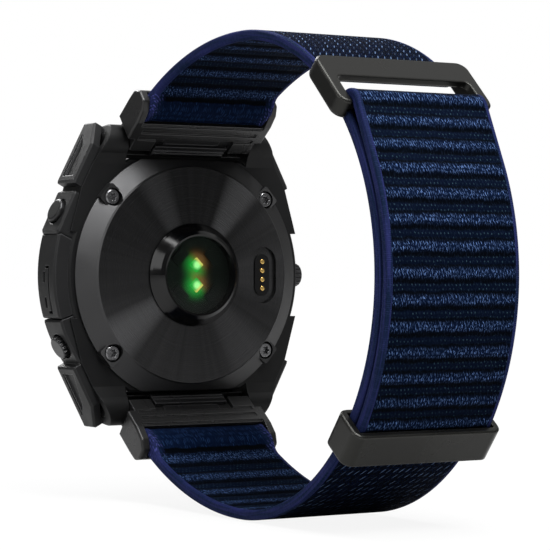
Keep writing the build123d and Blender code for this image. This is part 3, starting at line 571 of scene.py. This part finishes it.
@dataclass(frozen=True)
class WebbingFinish:
    """Navy webbing: fuzzy ribs on one side, flecked mesh on the other, smooth edges."""

    rib: RibWeave = field(default_factory=RibWeave)
    navy: Colour = (0.0013, 0.0042, 0.0155, 1.0)
    # Painted shade: darker than the yarn, laid in the recesses between ribs and threads and along the seam.
    groove: Colour = (0.0004, 0.0009, 0.0022, 1.0)
    thread: Colour = (0.085, 0.15, 0.33, 1.0)
    dull_thread: Colour = (0.02, 0.042, 0.06, 1.0)
    mesh_navy: Colour = (0.0016, 0.006, 0.026, 1.0)
    fleck: Colour = (0.075, 0.115, 0.2, 1.0)
    violet: Colour = (0.0115, 0.0145, 0.06, 1.0)
    violet_dark: Colour = (0.0036, 0.0085, 0.024, 1.0)
    pick: Colour = (0.022, 0.03, 0.1, 1.0)
    fibre: Colour = (0.01, 0.028, 0.085, 1.0)
    stitch: Colour = (0.05, 0.055, 0.2, 1.0)
    sewn_stretch: float = 3.9 * MM  # smooth stretch beside a connector
    corner_from: float = 10.7 * MM  # stitched corners of that stretch, from the strap's middle

    def finish(
        self, graph: Graph, shader: bpy.types.Node, colour: object, height: object, depth: float, rough: float
    ) -> None:
        """Joins a cloth's colour and relief to its shader.

        Args:
            graph: The material's graph.
            shader: Its Principled BSDF.
            colour: Socket with the cloth's colour.
            height: Socket with its relief.
            depth: Height of that relief.
            rough: Roughness.
        """
        graph.feed(shader.inputs["Base Color"], colour)
        tone = graph.group("mottle", {"Scale": 400.0, "Grain Scale": 7000.0})
        worn = graph.ramp(tone.outputs["Tone"], 0.3, 0.7, rough, rough - 0.12)
        graph.feed(shader.inputs["Roughness"], worn)
        shader.inputs["Sheen Weight"].default_value = 0.002
        shader.inputs["Sheen Roughness"].default_value = 0.4
        shader.inputs["Specular IOR Level"].default_value = 0.015
        bump = graph.add("Bump", {"Strength": 0.9, "Distance": depth, "Height": height})
        graph.feed(shader.inputs["Normal"], bump.outputs["Normal"])

    def ribbed(self) -> bpy.types.Material:
        """Builds the ribbed side."""
        material, graph, shader = new_material("webbing_ribbed_side")
        place = graph.add("UVMap", uv_map="cloth").outputs["UV"]
        wander = graph.add("TexNoise", {"Vector": place, "Scale": 520.0, "Detail": 2.0})
        drift = {0: wander.outputs["Color"], 1: (0.5, 0.5, 0.5)}
        stray = graph.add("VectorMath", drift, operation="SUBTRACT").outputs[0]
        stray = graph.add("VectorMath", {0: stray, "Scale": 0.75 * MM}, operation="SCALE").outputs[0]
        loose = graph.add("VectorMath", {0: place, 1: stray}, operation="ADD").outputs[0]
        along = graph.add("SeparateXYZ", {0: loose}).outputs["Y"]
        near = graph.math("DIVIDE", graph.math("MINIMUM", along, self.rib.near_end), self.rib.near_pitch)
        far = graph.math("MAXIMUM", graph.math("SUBTRACT", along, self.rib.near_end), 0.0)
        count = graph.math("ADD", near, graph.math("DIVIDE", far, self.rib.pitch))
        first = self.rib.crown - self.rib.near_crown / self.rib.near_pitch
        phase = graph.math("FRACT", graph.math("ADD", count, first))
        crown = self.band(graph, phase, self.rib.crown, self.rib.crown_half, 0.12)
        dotted = self.band(graph, phase, self.rib.dotted, self.rib.dotted_half)
        fuzz = self.threads(graph, loose, 0.52, 0.72, 0.5, 0.13, 0.4, 0.6, 1.0)
        fuzz_2 = self.threads(graph, loose, 0.45, 0.63, -0.45, 0.12, 0.36, 0.7, 2.0)
        fuzz_3 = self.threads(graph, loose, 0.71, 0.9, 0.15, 0.1, 0.38, 0.6, 8.0)
        dots = self.threads(graph, place, 0.72, 0.733, 0.15, 0.2, 0.28, 0.25, 3.0)
        bright = graph.math("MAXIMUM", fuzz, graph.math("MULTIPLY", fuzz_2, 0.7))
        bright = graph.math("MAXIMUM", bright, fuzz_3)
        bright = graph.math("MULTIPLY", bright, graph.ramp(crown, 0.0, 1.0, 0.03, 1.0))
        dull = graph.math("MULTIPLY", dots, dotted)
        # Painted shade: the groove colour where the ribs are low.
        raised = graph.math("MAXIMUM", crown, graph.math("MULTIPLY", dotted, 0.45))
        ground = graph.blend(raised, self.groove, self.navy)
        colour = graph.blend(graph.math("MULTIPLY", dull, 0.75), ground, self.dull_thread)
        colour = graph.blend(bright, colour, self.thread)
        relief = graph.math("ADD", graph.math("MULTIPLY", bright, 0.8), graph.math("MULTIPLY", dull, 0.5))
        fibres = self.threads(graph, loose, 0.34, 1.5, 0.5, 0.3, 0.48, 0.5, 9.0)
        fibred = graph.blend(fibres, self.navy, self.fibre)
        sewn = graph.ramp(along, self.sewn_stretch, self.sewn_stretch - 0.5 * MM)
        # Painted shade along the seam's crease.
        off_seam = graph.math("ABSOLUTE", graph.math("SUBTRACT", along, self.sewn_stretch))
        seam = graph.ramp(off_seam, 0.6 * MM, 0.2 * MM)
        colour = graph.blend(sewn, colour, fibred)
        colour = graph.blend(seam, colour, self.groove)
        relief = graph.math("MAXIMUM", relief, graph.math("MULTIPLY", fibres, sewn))
        across = graph.math("ABSOLUTE", graph.add("SeparateXYZ", {0: place}).outputs["X"])
        corner = graph.ramp(across, self.corner_from, self.corner_from + 1.2 * MM)
        beside = graph.ramp(along, self.sewn_stretch + 1.5 * MM, self.sewn_stretch)
        corner = graph.math("MULTIPLY", corner, beside)
        stitches = self.threads(graph, place, 0.62, 0.85, 0.8, 0.26, 0.42, 0.25, 11.0)
        colour = graph.blend(corner, colour, graph.blend(stitches, self.violet_dark, self.stitch))
        relief = graph.math("MAXIMUM", relief, graph.math("MULTIPLY", stitches, corner))
        self.finish(graph, shader, colour, relief, 0.24 * MM, 0.85)
        return material

    def band(
        self, graph: Graph, phase: object, middle: float, half: float, full: float = 0.55
    ) -> bpy.types.NodeSocket:
        """Soft mask of a stretch of each rib's pitch; full is the share of its half that is solid."""
        away = graph.math("ABSOLUTE", graph.math("SUBTRACT", phase, middle))
        return graph.ramp(away, half * 1.15, half * full)

    def threads(self, graph: Graph, place: object, spacing: float, pitch: float, lean: float,
                width: float, length: float, stray: float, seed: float) -> bpy.types.NodeSocket:
        """Places a layer of threads of uneven brightness; spacing and pitch are in millimetres."""
        rows = graph.group(
            "thread rows",
            {"Vector": place, "Spacing": spacing * MM, "Pitch": pitch * MM, "Lean": lean, "Width": width,
             "Length": length, "Stray": stray, "Seed": seed},
        )
        brightness = graph.ramp(rows.outputs["Tone"], 0.1, 1.0, 0.12, 1.0)
        return graph.math("MULTIPLY", rows.outputs["Mask"], brightness)

    def outer(self) -> bpy.types.Material:
        """Builds the flecked side."""
        material, graph, shader = new_material("webbing_outer_side")
        place = graph.add("UVMap", uv_map="cloth").outputs["UV"]
        flecks = self.threads(graph, place, 1.3, 1.8, 0.8, 0.11, 0.38, 0.15, 4.0)
        knit = self.threads(graph, place, 0.42, 0.5, 0.6, 0.3, 0.45, 0.3, 5.0)
        knit_2 = self.threads(graph, place, 0.31, 0.62, -0.4, 0.25, 0.4, 0.3, 6.0)
        weave = graph.math("MAXIMUM", knit, knit_2)
        # Painted shade between the knitted threads.
        ground = graph.blend(weave, self.groove, self.mesh_navy)
        colour = graph.blend(flecks, ground, self.fleck)
        relief = graph.math("ADD", graph.math("MULTIPLY", weave, 0.45), graph.math("MULTIPLY", flecks, 0.6))
        self.finish(graph, shader, colour, relief, 0.15 * MM, 0.8)
        return material

    def edge(self) -> bpy.types.Material:
        """Builds the smooth woven edge."""
        material, graph, shader = new_material("webbing_edge")
        place = graph.add("UVMap", uv_map="cloth").outputs["UV"]
        parts = graph.add("SeparateXYZ", {0: place})
        across = graph.math("MULTIPLY", parts.outputs["X"], 6.0)
        along = graph.math("MULTIPLY", parts.outputs["Y"], 0.25)
        far = graph.add("CombineXYZ", {0: across, 1: along})
        noise = graph.add("TexNoise", {"Vector": far.outputs[0], "Scale": 420.0, "Detail": 2.0})
        stripes = noise.outputs["Fac"]
        picks = self.threads(graph, place, 0.5, 0.32, 0.2, 0.7, 0.42, 0.1, 7.0)
        colour = graph.blend(graph.ramp(stripes, 0.35, 0.65), self.violet_dark, self.violet)
        colour = graph.blend(graph.math("MULTIPLY", picks, 0.25), colour, self.pick)
        sewn = graph.ramp(parts.outputs["Y"], self.sewn_stretch + 2.0 * MM, self.sewn_stretch)
        stitches = self.threads(graph, place, 0.55, 0.8, 0.7, 0.28, 0.42, 0.2, 12.0)
        colour = graph.blend(graph.math("MULTIPLY", stitches, sewn), colour, self.stitch)
        picks = graph.math("MAXIMUM", picks, graph.math("MULTIPLY", stitches, sewn))
        self.finish(graph, shader, colour, picks, 0.05 * MM, 0.6)
        return material


# ---- Modelling helpers -----------------------------------------------------------------------
def deselect() -> None:
    """Leaves nothing selected, in object mode."""
    if bpy.context.object is not None and bpy.context.object.mode != "OBJECT":
        bpy.ops.object.mode_set(mode="OBJECT")
    bpy.ops.object.select_all(action="DESELECT")


def activate(piece: bpy.types.Object) -> None:
    """Selects one piece and makes it the active one."""
    deselect()
    piece.select_set(True)
    bpy.context.view_layer.objects.active = piece


def apply_modifier(piece: bpy.types.Object, kind: str, **settings: object) -> None:
    """Adds a modifier and applies it.

    Args:
        piece: The piece to change.
        kind: The modifier's type.
        settings: Its properties.
    """
    activate(piece)
    modifier = piece.modifiers.new(kind.lower(), kind)
    for name, value in settings.items():
        setattr(modifier, name, value)
    bpy.ops.object.modifier_apply(modifier=modifier.name)


def settle(piece: bpy.types.Object, name: str, body: str) -> None:
    """Names a finished piece and says what it rides on.

    Args:
        piece: The piece.
        name: Its name.
        body: The body that carries it.
    """
    piece.name = name
    piece.data.name = name
    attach(piece, body)
    log.info("%s: %d faces on %s", name, len(piece.data.polygons), body)


# ---- Band ------------------------------------------------------------------------------------
@dataclass
class BandPath:
    """Middle line of a strap in the plane across the wrist, as straight runs and arcs joined end to end."""

    start: Point
    heading: float
    runs: list[tuple[float, float]]  # length and radius of each run; a radius of 0 is straight

    def length(self) -> float:
        """The whole length."""
        return sum(length for length, _ in self.runs)

    def points(self, step: float) -> list[Point]:
        """Points along the line.

        Args:
            step: The largest distance between two points.

        Returns:
            (y, z) points from end to end.
        """
        y, z = self.start
        heading = self.heading
        line = [(y, z)]
        for length, radius in self.runs:
            count = max(1, math.ceil(length / step))
            for _ in range(count):
                piece = length / count
                bend = piece / radius if radius else 0.0
                chord = 2 * radius * math.sin(bend / 2) if radius else piece
                y += chord * math.cos(heading + bend / 2)
                z += chord * math.sin(heading + bend / 2)
                heading += bend
                line.append((y, z))
        return line

    def curve(self, name: str, step: float) -> bpy.types.Object:
        """The line as a flat curve in the XY plane.

        Args:
            name: The curve's name.
            step: The largest distance between two points.

        Returns:
            The curve object.
        """
        points = self.points(step)
        data = bpy.data.curves.new(name, "CURVE")
        data.dimensions = "2D"
        spline = data.splines.new("POLY")
        spline.points.add(len(points) - 1)
        for point, (y, z) in zip(spline.points, points):
            point.co = (y, z, 0.0, 1.0)
        curve = bpy.data.objects.new(name, data)
        bpy.context.collection.objects.link(curve)
        return curve


def centre_of(node: str) -> Point:
    """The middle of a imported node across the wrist, as (y, z)."""
    low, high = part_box(node)
    return (low[1] + high[1]) / 2, (low[2] + high[2]) / 2


@dataclass
class BandSizes:
    """Sizes of the band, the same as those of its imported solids."""

    width: float = 26.0 * MM
    thickness: float = 1.8 * MM
    loop_radius: float = 42.0 * MM
    end_run: float = 3.5 * MM
    layer_gap: float = 0.5 * MM
    fold_radius: float = 1.85 * MM
    fold_offset: float = 5.1 * MM  # fold's centre below the middle of the buckle
    buckle_angle: float = math.radians(46.0)
    tail_end: float = math.radians(-39.5)
    strap_bar: Point = field(default_factory=lambda: centre_of("upper_strap_bar"))
    hinge_bar: Point = field(default_factory=lambda: centre_of("buckle_hinge_bar"))

    @property
    def middle(self) -> float:
        """Radius of the band's middle line on the round half of the loop."""
        return self.loop_radius - self.thickness / 2

    @property
    def shoulder_angle(self) -> float:
        """Turn of the flatter stretch between a connector and the loop's top."""
        return 2 * math.atan((self.middle - self.strap_bar[1]) / (self.end_run - self.strap_bar[0]))

    @property
    def shoulder_middle(self) -> float:
        """Radius of the middle line on the flatter stretch."""
        run = self.end_run * math.cos(self.shoulder_angle)
        return (-self.strap_bar[0] - run) / math.sin(self.shoulder_angle)

    def upper_path(self) -> BandPath:
        """Middle line of the short strap, from its connector to the buckle."""
        hinge_angle = math.atan2(self.hinge_bar[1], self.hinge_bar[0])
        runs = [
            (self.end_run, 0.0),
            (self.shoulder_middle * self.shoulder_angle, -self.shoulder_middle),
            (self.middle * (math.pi / 2 - hinge_angle), -self.middle),
        ]
        return BandPath(self.strap_bar, self.shoulder_angle, runs)

    def lower_path(self) -> BandPath:
        """Middle line of the long strap, from its connector round the fold to the tail's end."""
        y, z = self.strap_bar
        tail = self.middle + self.thickness + self.layer_gap
        fold_distance = self.middle + self.fold_radius
        fold_angle = self.buckle_angle - math.asin(self.fold_offset / fold_distance)
        release = math.acos((tail - self.fold_radius) / fold_distance)
        runs = [
            (self.end_run, 0.0),
            (self.shoulder_middle * self.shoulder_angle, self.shoulder_middle),
            (self.middle * (math.pi / 2 + fold_angle), self.middle),
            (self.fold_radius * (math.pi + release), -self.fold_radius),
            (fold_distance * math.sin(release), 0.0),
            (tail * (fold_angle - release - self.tail_end), -tail),
        ]
        return BandPath((y, -z), -self.shoulder_angle, runs)


@dataclass
class WebbingStrap:
    """One strap of ribbed webbing with rolled edges."""

    name: str
    body: str
    path: BandPath
    outer_side: int  # 1 where the outer face is on the left of the path, else -1
    sizes: BandSizes
    finish: WebbingFinish
    held: str
    rib_height: float = 0.34 * MM
    edge_width: float = 0.95 * MM
    plain_ends: tuple[float, float] = (3.6 * MM, 0.0)
    doubled_end: float = 5.6 * MM  # webbing turned back round the strap bar
    doubled_full: float = 1.4 * MM
    doubled_height: float = 1.8 * MM
    doubled_back: float = 2.5 * MM  # how far it fills the connector's mouth behind the bar
    rim_fade: float = 0.7 * MM  # over which the ribs die out beside the edge
    edge_round: float = 0.62 * MM
    curve_step: float = 0.35 * MM
    steps_per_rib: int = 12
    across: int = 32

    @property
    def inside(self) -> float:
        """Distance from the strap's middle to its woven edge."""
        return self.sizes.width / 2 - self.edge_width

    def rim(self, across: float) -> float:
        """Share of the relief left at a distance from the strap's middle."""
        return min(1.0, max(0.0, (self.inside - abs(across)) / self.rim_fade))

    def rib_relief(self, along: float, across: float) -> float:
        """Height of the ribbed side over its lowest level.

        Args:
            along: Place along the strap.
            across: Distance from its middle.

        Returns:
            The height in metres.
        """
        rib = self.finish.rib
        count = rib.count(along)
        phase = count % 1.0
        crown = max(0.0, 1 - ((phase - rib.crown) / (rib.crown_half * 1.15)) ** 2)
        low = max(0.0, 1 - ((phase - rib.dotted) / (rib.dotted_half * 1.2)) ** 2)
        uneven = 1 + 0.12 * math.sin(across / MM * 1.9 + math.floor(count) * 2.1)
        height = self.rib_height * (math.sqrt(crown) * uneven + 0.35 * low)
        start, end = self.plain_ends
        first = min(1.0, max(0.0, (along - start) / MM))
        last = min(1.0, max(0.0, (self.path.length() - end - along) / MM)) if end else 1.0
        return height * (first * last) * self.rim(across)

    def flat_strip(self) -> bpy.types.Object:
        """Makes the strap flat: length on X, thickness on Y, width on Z, outer face at -Y."""
        length = self.path.length()
        steps = round(length / self.finish.rib.pitch * self.steps_per_rib)
        deselect()
        bpy.ops.mesh.primitive_grid_add(x_subdivisions=steps, y_subdivisions=self.across, size=1.0)
        strip = bpy.context.object
        strip.scale = (length, self.sizes.width, 1.0)
        bpy.ops.object.transform_apply(location=False, rotation=False, scale=True)
        strip.data.transform(Matrix.Translation((length / 2, 0.0, 0.0)))
        apply_modifier(strip, "SOLIDIFY", thickness=self.sizes.thickness, offset=0.0)
        apply_modifier(
            strip, "BEVEL", width=self.edge_round, segments=4,
            limit_method="ANGLE", angle_limit=math.radians(60),
        )
        return strip

    def shape(self, strip: bpy.types.Object) -> None:
        """Raises the ribs, marks each face's side and lays the cloth's own map over the strap."""
        half = self.sizes.thickness / 2
        sink = self.rib_height * 0.6
        for vertex in strip.data.vertices:
            across, level = vertex.co.y, vertex.co.z
            if level < -0.5 * half:
                share = min(1.0, (-level - 0.5 * half) / (0.45 * half))
                fall = (self.doubled_end - vertex.co.x) / (self.doubled_end - self.doubled_full)
                fall = min(1.0, max(0.0, fall))
                doubled = self.doubled_height * share * fall * fall * (3 - 2 * fall)
                back = self.doubled_back * share * max(0.0, 1 - vertex.co.x / self.doubled_full)
                vertex.co.x -= back
                relief = sink * self.rim(across) - self.rib_relief(vertex.co.x + back, across)
                vertex.co.z = level + share * relief - doubled
        if not WebbingStrap.made:
            WebbingStrap.made.extend((self.finish.outer(), self.finish.ribbed(), self.finish.edge()))
        for material in WebbingStrap.made:
            strip.data.materials.append(material)
        cloth = strip.data.uv_layers.new(name="cloth")
        strip.data.uv_layers.active = cloth
        for face in strip.data.polygons:
            middle = face.center
            on_edge = abs(middle.y) > self.inside or abs(face.normal.z) < 0.35
            side = Side.EDGE if on_edge else (Side.OUTER if middle.z > 0 else Side.RIBBED)
            face.material_index = side.value
            face.use_smooth = True
            for loop in face.loop_indices:
                co = strip.data.vertices[strip.data.loops[loop].vertex_index].co
                around = co.y + (0.0 if side is not Side.EDGE else math.copysign(half - co.z, co.y))
                cloth.data[loop].uv = (around, co.x)

    def build(self) -> bpy.types.Object:
        """Makes the strap and bends it along its path.

        Returns:
            The finished strap.
        """
        strip = self.flat_strip()
        self.shape(strip)
        turn = Matrix(((1, 0, 0, 0), (0, 0, self.outer_side, 0), (0, -self.outer_side, 0, 0), (0, 0, 0, 1)))
        strip.data.transform(turn)
        curve = self.path.curve(self.name + "_line", self.curve_step)
        apply_modifier(strip, "CURVE", object=curve, deform_axis="POS_X")
        bpy.data.objects.remove(curve)
        strip.data.transform(Matrix(((0, 0, 1, 0), (1, 0, 0, 0), (0, 1, 0, 0), (0, 0, 0, 1))))
        settle(strip, self.name + "_webbing", self.body)
        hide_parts(self.name)
        flat = (self.sizes.width, self.path.length())
        return strip


WebbingStrap.made = []


@dataclass
class SewnEye:
    """End of a strap sewn round a bar."""

    name: str
    body: str
    centre: Point
    bar_radius: float
    sizes: BandSizes
    wall: float = 1.2 * MM
    clearance: float = 0.1 * MM

    def build(self) -> bpy.types.Object:
        """Makes the eye as a sleeve of webbing.

        Returns:
            The finished eye.
        """
        deselect()
        inner = self.bar_radius + self.clearance
        bpy.ops.mesh.primitive_cylinder_add(
            vertices=40, radius=inner + self.wall, depth=self.sizes.width - 0.6 * MM, end_fill_type="NOTHING",
            location=(0.0, *self.centre), rotation=(0.0, math.pi / 2, 0.0),
        )
        eye = bpy.context.object
        bpy.ops.object.transform_apply(location=True, rotation=True, scale=True)
        apply_modifier(eye, "SOLIDIFY", thickness=self.wall, offset=-1.0)
        apply_modifier(
            eye, "BEVEL", width=0.2 * MM, segments=3, limit_method="ANGLE", angle_limit=math.radians(50)
        )
        cloth = eye.data.uv_layers.new(name="cloth")
        for face in eye.data.polygons:
            face.use_smooth = True
            for loop in face.loop_indices:
                co = eye.data.vertices[eye.data.loops[loop].vertex_index].co
                turn = math.atan2(co.z - self.centre[1], co.y - self.centre[0])
                cloth.data[loop].uv = (co.x, turn * (inner + self.wall))
        eye.data.materials.append(WebbingStrap.made[Side.RIBBED.value])
        settle(eye, self.name, self.body)
        return eye


@dataclass
class Band:
    """The two straps with their sewn eyes."""

    sizes: BandSizes = field(default_factory=BandSizes)
    finish: WebbingFinish = field(default_factory=WebbingFinish)

    def build(self) -> None:
        """Makes the band's pieces."""
        sizes, finish = self.sizes, self.finish
        upper = WebbingStrap("upper_strap", "upper_band", sizes.upper_path(), 1, sizes, finish, "stretched",
                             plain_ends=(3.6 * MM, 1.5 * MM))
        lower = WebbingStrap("lower_strap", "lower_band", sizes.lower_path(), -1, sizes, finish, "folded")
        for strap in (upper, lower):
            strap.build()
        y, z = self.sizes.strap_bar
        SewnEye("upper_strap_end", "upper_band", (y, z), 0.8 * MM, self.sizes).build()
        SewnEye("lower_strap_end", "lower_band", (y, -z), 0.8 * MM, self.sizes).build()
        hinge = self.sizes.hinge_bar
        SewnEye("buckle_strap_end", "upper_band", hinge, 0.6 * MM, self.sizes, wall=0.65 * MM).build()


# ---- Hardware --------------------------------------------------------------------------------
class Hardware:
    """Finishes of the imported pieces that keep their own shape."""

    def wardrobe(self) -> dict[str, object]:
        """The finish of each material slot of the record."""
        return {
            "case_polymer": MouldedPolymer("case_polymer", (0.0036, 0.0037, 0.0039, 1.0), 0.5, 3.0),
            "guard_polymer": MouldedPolymer(
                "guard_polymer", (0.0095, 0.0096, 0.01, 1.0), 0.44, 3.6, 0.28 * MM
            ),
            "bezel_metal": CoatedMetal("bezel_metal", (0.03, 0.03, 0.031, 1.0), 0.34),
            "dark_screw": CoatedMetal("dark_screw", (0.1, 0.1, 0.105, 1.0), 0.3),
            "lens_glass": TintedGlass("lens_glass", (0.6, 0.62, 0.66, 1.0)),
            "dial_print": DialPrint("dial_print", (0.01, 0.01, 0.011, 1.0)),
            "display_face": Gloss("display_face", (0.006, 0.006, 0.008, 1.0), 0.12),
            "board": LitBoard("board", (0.004, 0.008, 0.006, 1.0)),
            "battery_can": CoatedMetal("battery_can", (0.55, 0.55, 0.57, 1.0), 0.4, 1.0),
            "motor_can": CoatedMetal("motor_can", (0.5, 0.5, 0.52, 1.0), 0.3, 1.0),
            "flex_film": Gloss("flex_film", (0.25, 0.11, 0.03, 1.0), 0.3),
            "cover_metal": TurnedMetal("cover_metal", (0.03, 0.03, 0.031, 1.0)),
            "steel_screw": CoatedMetal("steel_screw", (0.16, 0.16, 0.165, 1.0), 0.28, 1.0, 2.4, 0.1 * MM),
            "seal_rubber": MouldedPolymer("seal_rubber", (0.012, 0.012, 0.012, 1.0), 0.8),
            "sensor_gloss": Gloss("sensor_gloss", (0.002, 0.002, 0.0022, 1.0), 0.12, 0.0, 0.0, 0.28),
            "sensor_glass": TintedGlass("sensor_glass", (0.5, 0.6, 0.54, 1.0), 0.09, 1.16),
            "lamp_green": GreenLamp("lamp_green"),
            "photodiode": Gloss("photodiode", (0.002, 0.004, 0.003, 1.0), 0.3, 0.0, 0.0),
            "insert_polymer": MouldedPolymer("insert_polymer", (0.003, 0.003, 0.0033, 1.0), 0.5),
            "contact_gold": CoatedMetal("contact_gold", (0.75, 0.5, 0.16, 1.0), 0.25, 1.0, 1.2, 0.1 * MM),
            "button_metal": CoatedMetal("button_metal", (0.03, 0.03, 0.031, 1.0), 0.32),
            "spring_steel": CoatedMetal("spring_steel", (0.5, 0.5, 0.52, 1.0), 0.25, 1.0),
            "pin_steel": CoatedMetal("pin_steel", (0.05, 0.05, 0.052, 1.0), 0.3),
            "connector_metal": CoatedMetal("connector_metal", (0.022, 0.022, 0.0225, 1.0), 0.3, 0.6, 3.4),
            "latch_metal": CoatedMetal("latch_metal", (0.02, 0.02, 0.021, 1.0), 0.3, 0.6, 3.0),
            "hook_tape": MouldedPolymer("hook_tape", (0.003, 0.004, 0.012, 1.0), 0.9),
            "buckle_metal": CoatedMetal(
                "buckle_metal", (0.022, 0.022, 0.0205, 1.0), 0.3, 0.85, 2.6, 0.4 * MM
            ),
        }

    def dress(self) -> None:
        """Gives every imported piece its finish."""
        made: dict[str, bpy.types.Material] = {}
        wardrobe = self.wardrobe()
        for row in frame["record"]["subparts"]:
            slot, node = row["material_slot"], frame["nodes"][row["node"]]
            if slot not in wardrobe:
                continue
            if slot not in made:
                made[slot] = wardrobe[slot].build()
            for place in node.material_slots:
                place.material = made[slot]
            if not node.material_slots:
                node.data.materials.append(made[slot])
            log.info("%s: %s", row["node"], slot)


# ---- Studio ----------------------------------------------------------------------------------
@dataclass
class Studio:
    """Pale floor, soft lights, white surroundings and the camera."""

    camera_place: tuple[float, float, float] = (220.1 * MM, 337.7 * MM, 0.0)
    camera_turn: float = math.radians(32.4)
    lens: float = 151.0
    floor_level: float = -42.2 * MM
    floor_size: float = 6.0
    pool: float = 0.3  # radius within which the floor takes shadows

    def build(self) -> None:
        """Makes the whole studio."""
        self.floor()
        self.surroundings()
        self.lights()
        self.camera()

    def floor(self) -> None:
        """Makes the floor."""
        deselect()
        bpy.ops.mesh.primitive_circle_add(
            vertices=96, radius=self.floor_size, fill_type="NGON", location=(0.0, 0.0, self.floor_level)
        )
        floor = bpy.context.object
        floor.name = "studio_floor"
        bpy.ops.object.transform_apply(location=True, rotation=True, scale=True)
        material, graph, shader = new_material("studio_floor")
        shader.inputs["Base Color"].default_value = (0.45, 0.45, 0.45, 1.0)
        shader.inputs["Roughness"].default_value = 1.0
        shader.inputs["Specular IOR Level"].default_value = 0.0
        glow = graph.add("Emission", {"Color": (1.0, 1.0, 1.0, 1.0), "Strength": 1.02})
        seen = graph.add("LightPath").outputs["Is Camera Ray"]
        place = graph.add("TexCoord").outputs["Object"]
        middle = (0.0, 0.0, self.floor_level)
        away = graph.add("VectorMath", {0: place, 1: middle}, operation="DISTANCE").outputs["Value"]
        share = graph.math("MULTIPLY", seen, graph.ramp(away, 0.2 * self.pool, self.pool, 0.88, 1.0))
        both = graph.add("MixShader", {0: share, 1: shader.outputs[0], 2: glow.outputs[0]})
        output = material.node_tree.nodes["Material Output"]
        graph.feed(output.inputs["Surface"], both.outputs[0])
        floor.data.materials.append(material)

    def surroundings(self) -> None:
        """Makes the world: white to the camera, dimmer as light."""
        world = bpy.data.worlds.new("surroundings")
        bpy.context.scene.world = world
        world.use_nodes = True
        graph = Graph(world.node_tree)
        back = world.node_tree.nodes["Background"]
        seen = graph.add("LightPath").outputs["Is Camera Ray"]
        back.inputs["Color"].default_value = (1.0, 1.0, 1.0, 1.0)
        graph.feed(back.inputs["Strength"], graph.ramp(seen, 0.0, 1.0, 0.2, 1.0))

    def lights(self) -> None:
        """Places the soft lights."""
        for name, turn, lift, reach, size, power in (
            ("key", -28.0, 52.0, 0.7, 0.35, 7.0),
            ("fill", 48.0, 26.0, 0.8, 0.5, 1.9),
            ("top", 5.0, 80.0, 0.6, 0.4, 4.4),
            ("rim", 150.0, 38.0, 0.7, 0.4, 3.6),
            ("glint", -135.0, 54.0, 0.7, 0.45, 0.32),
        ):
            angle = math.pi / 2 - self.camera_turn - math.radians(turn)
            place = Vector((
                reach * math.cos(math.radians(lift)) * math.cos(angle),
                reach * math.cos(math.radians(lift)) * math.sin(angle),
                reach * math.sin(math.radians(lift)),
            ))
            data = bpy.data.lights.new(name + "_light", "AREA")
            data.shape, data.size, data.energy = "DISK", size, power
            light = bpy.data.objects.new(name + "_light", data)
            light.location = place
            light.rotation_euler = (-place).to_track_quat("-Z", "Y").to_euler()
            bpy.context.collection.objects.link(light)

    def camera(self) -> None:
        """Places the camera level with the band, behind the watch."""
        data = bpy.data.cameras.new("camera")
        data.lens, data.sensor_width, data.clip_start = self.lens, 36.0, 0.01
        camera = bpy.data.objects.new("camera", data)
        camera.location = self.camera_place
        view = Vector((-math.sin(self.camera_turn), -math.cos(self.camera_turn), 0.0))
        camera.rotation_euler = view.to_track_quat("-Z", "Y").to_euler()
        bpy.context.collection.objects.link(camera)
        bpy.context.scene.camera = camera
        bpy.context.scene.view_settings.view_transform = "Standard"


def main() -> None:
    """Builds the looks in order."""
    logging.basicConfig(level=logging.INFO, format="%(name)s: %(message)s")
    Effects().build()
    Band().build()
    Hardware().dress()
    Studio().build()


if __name__ == "__main__":
    main()
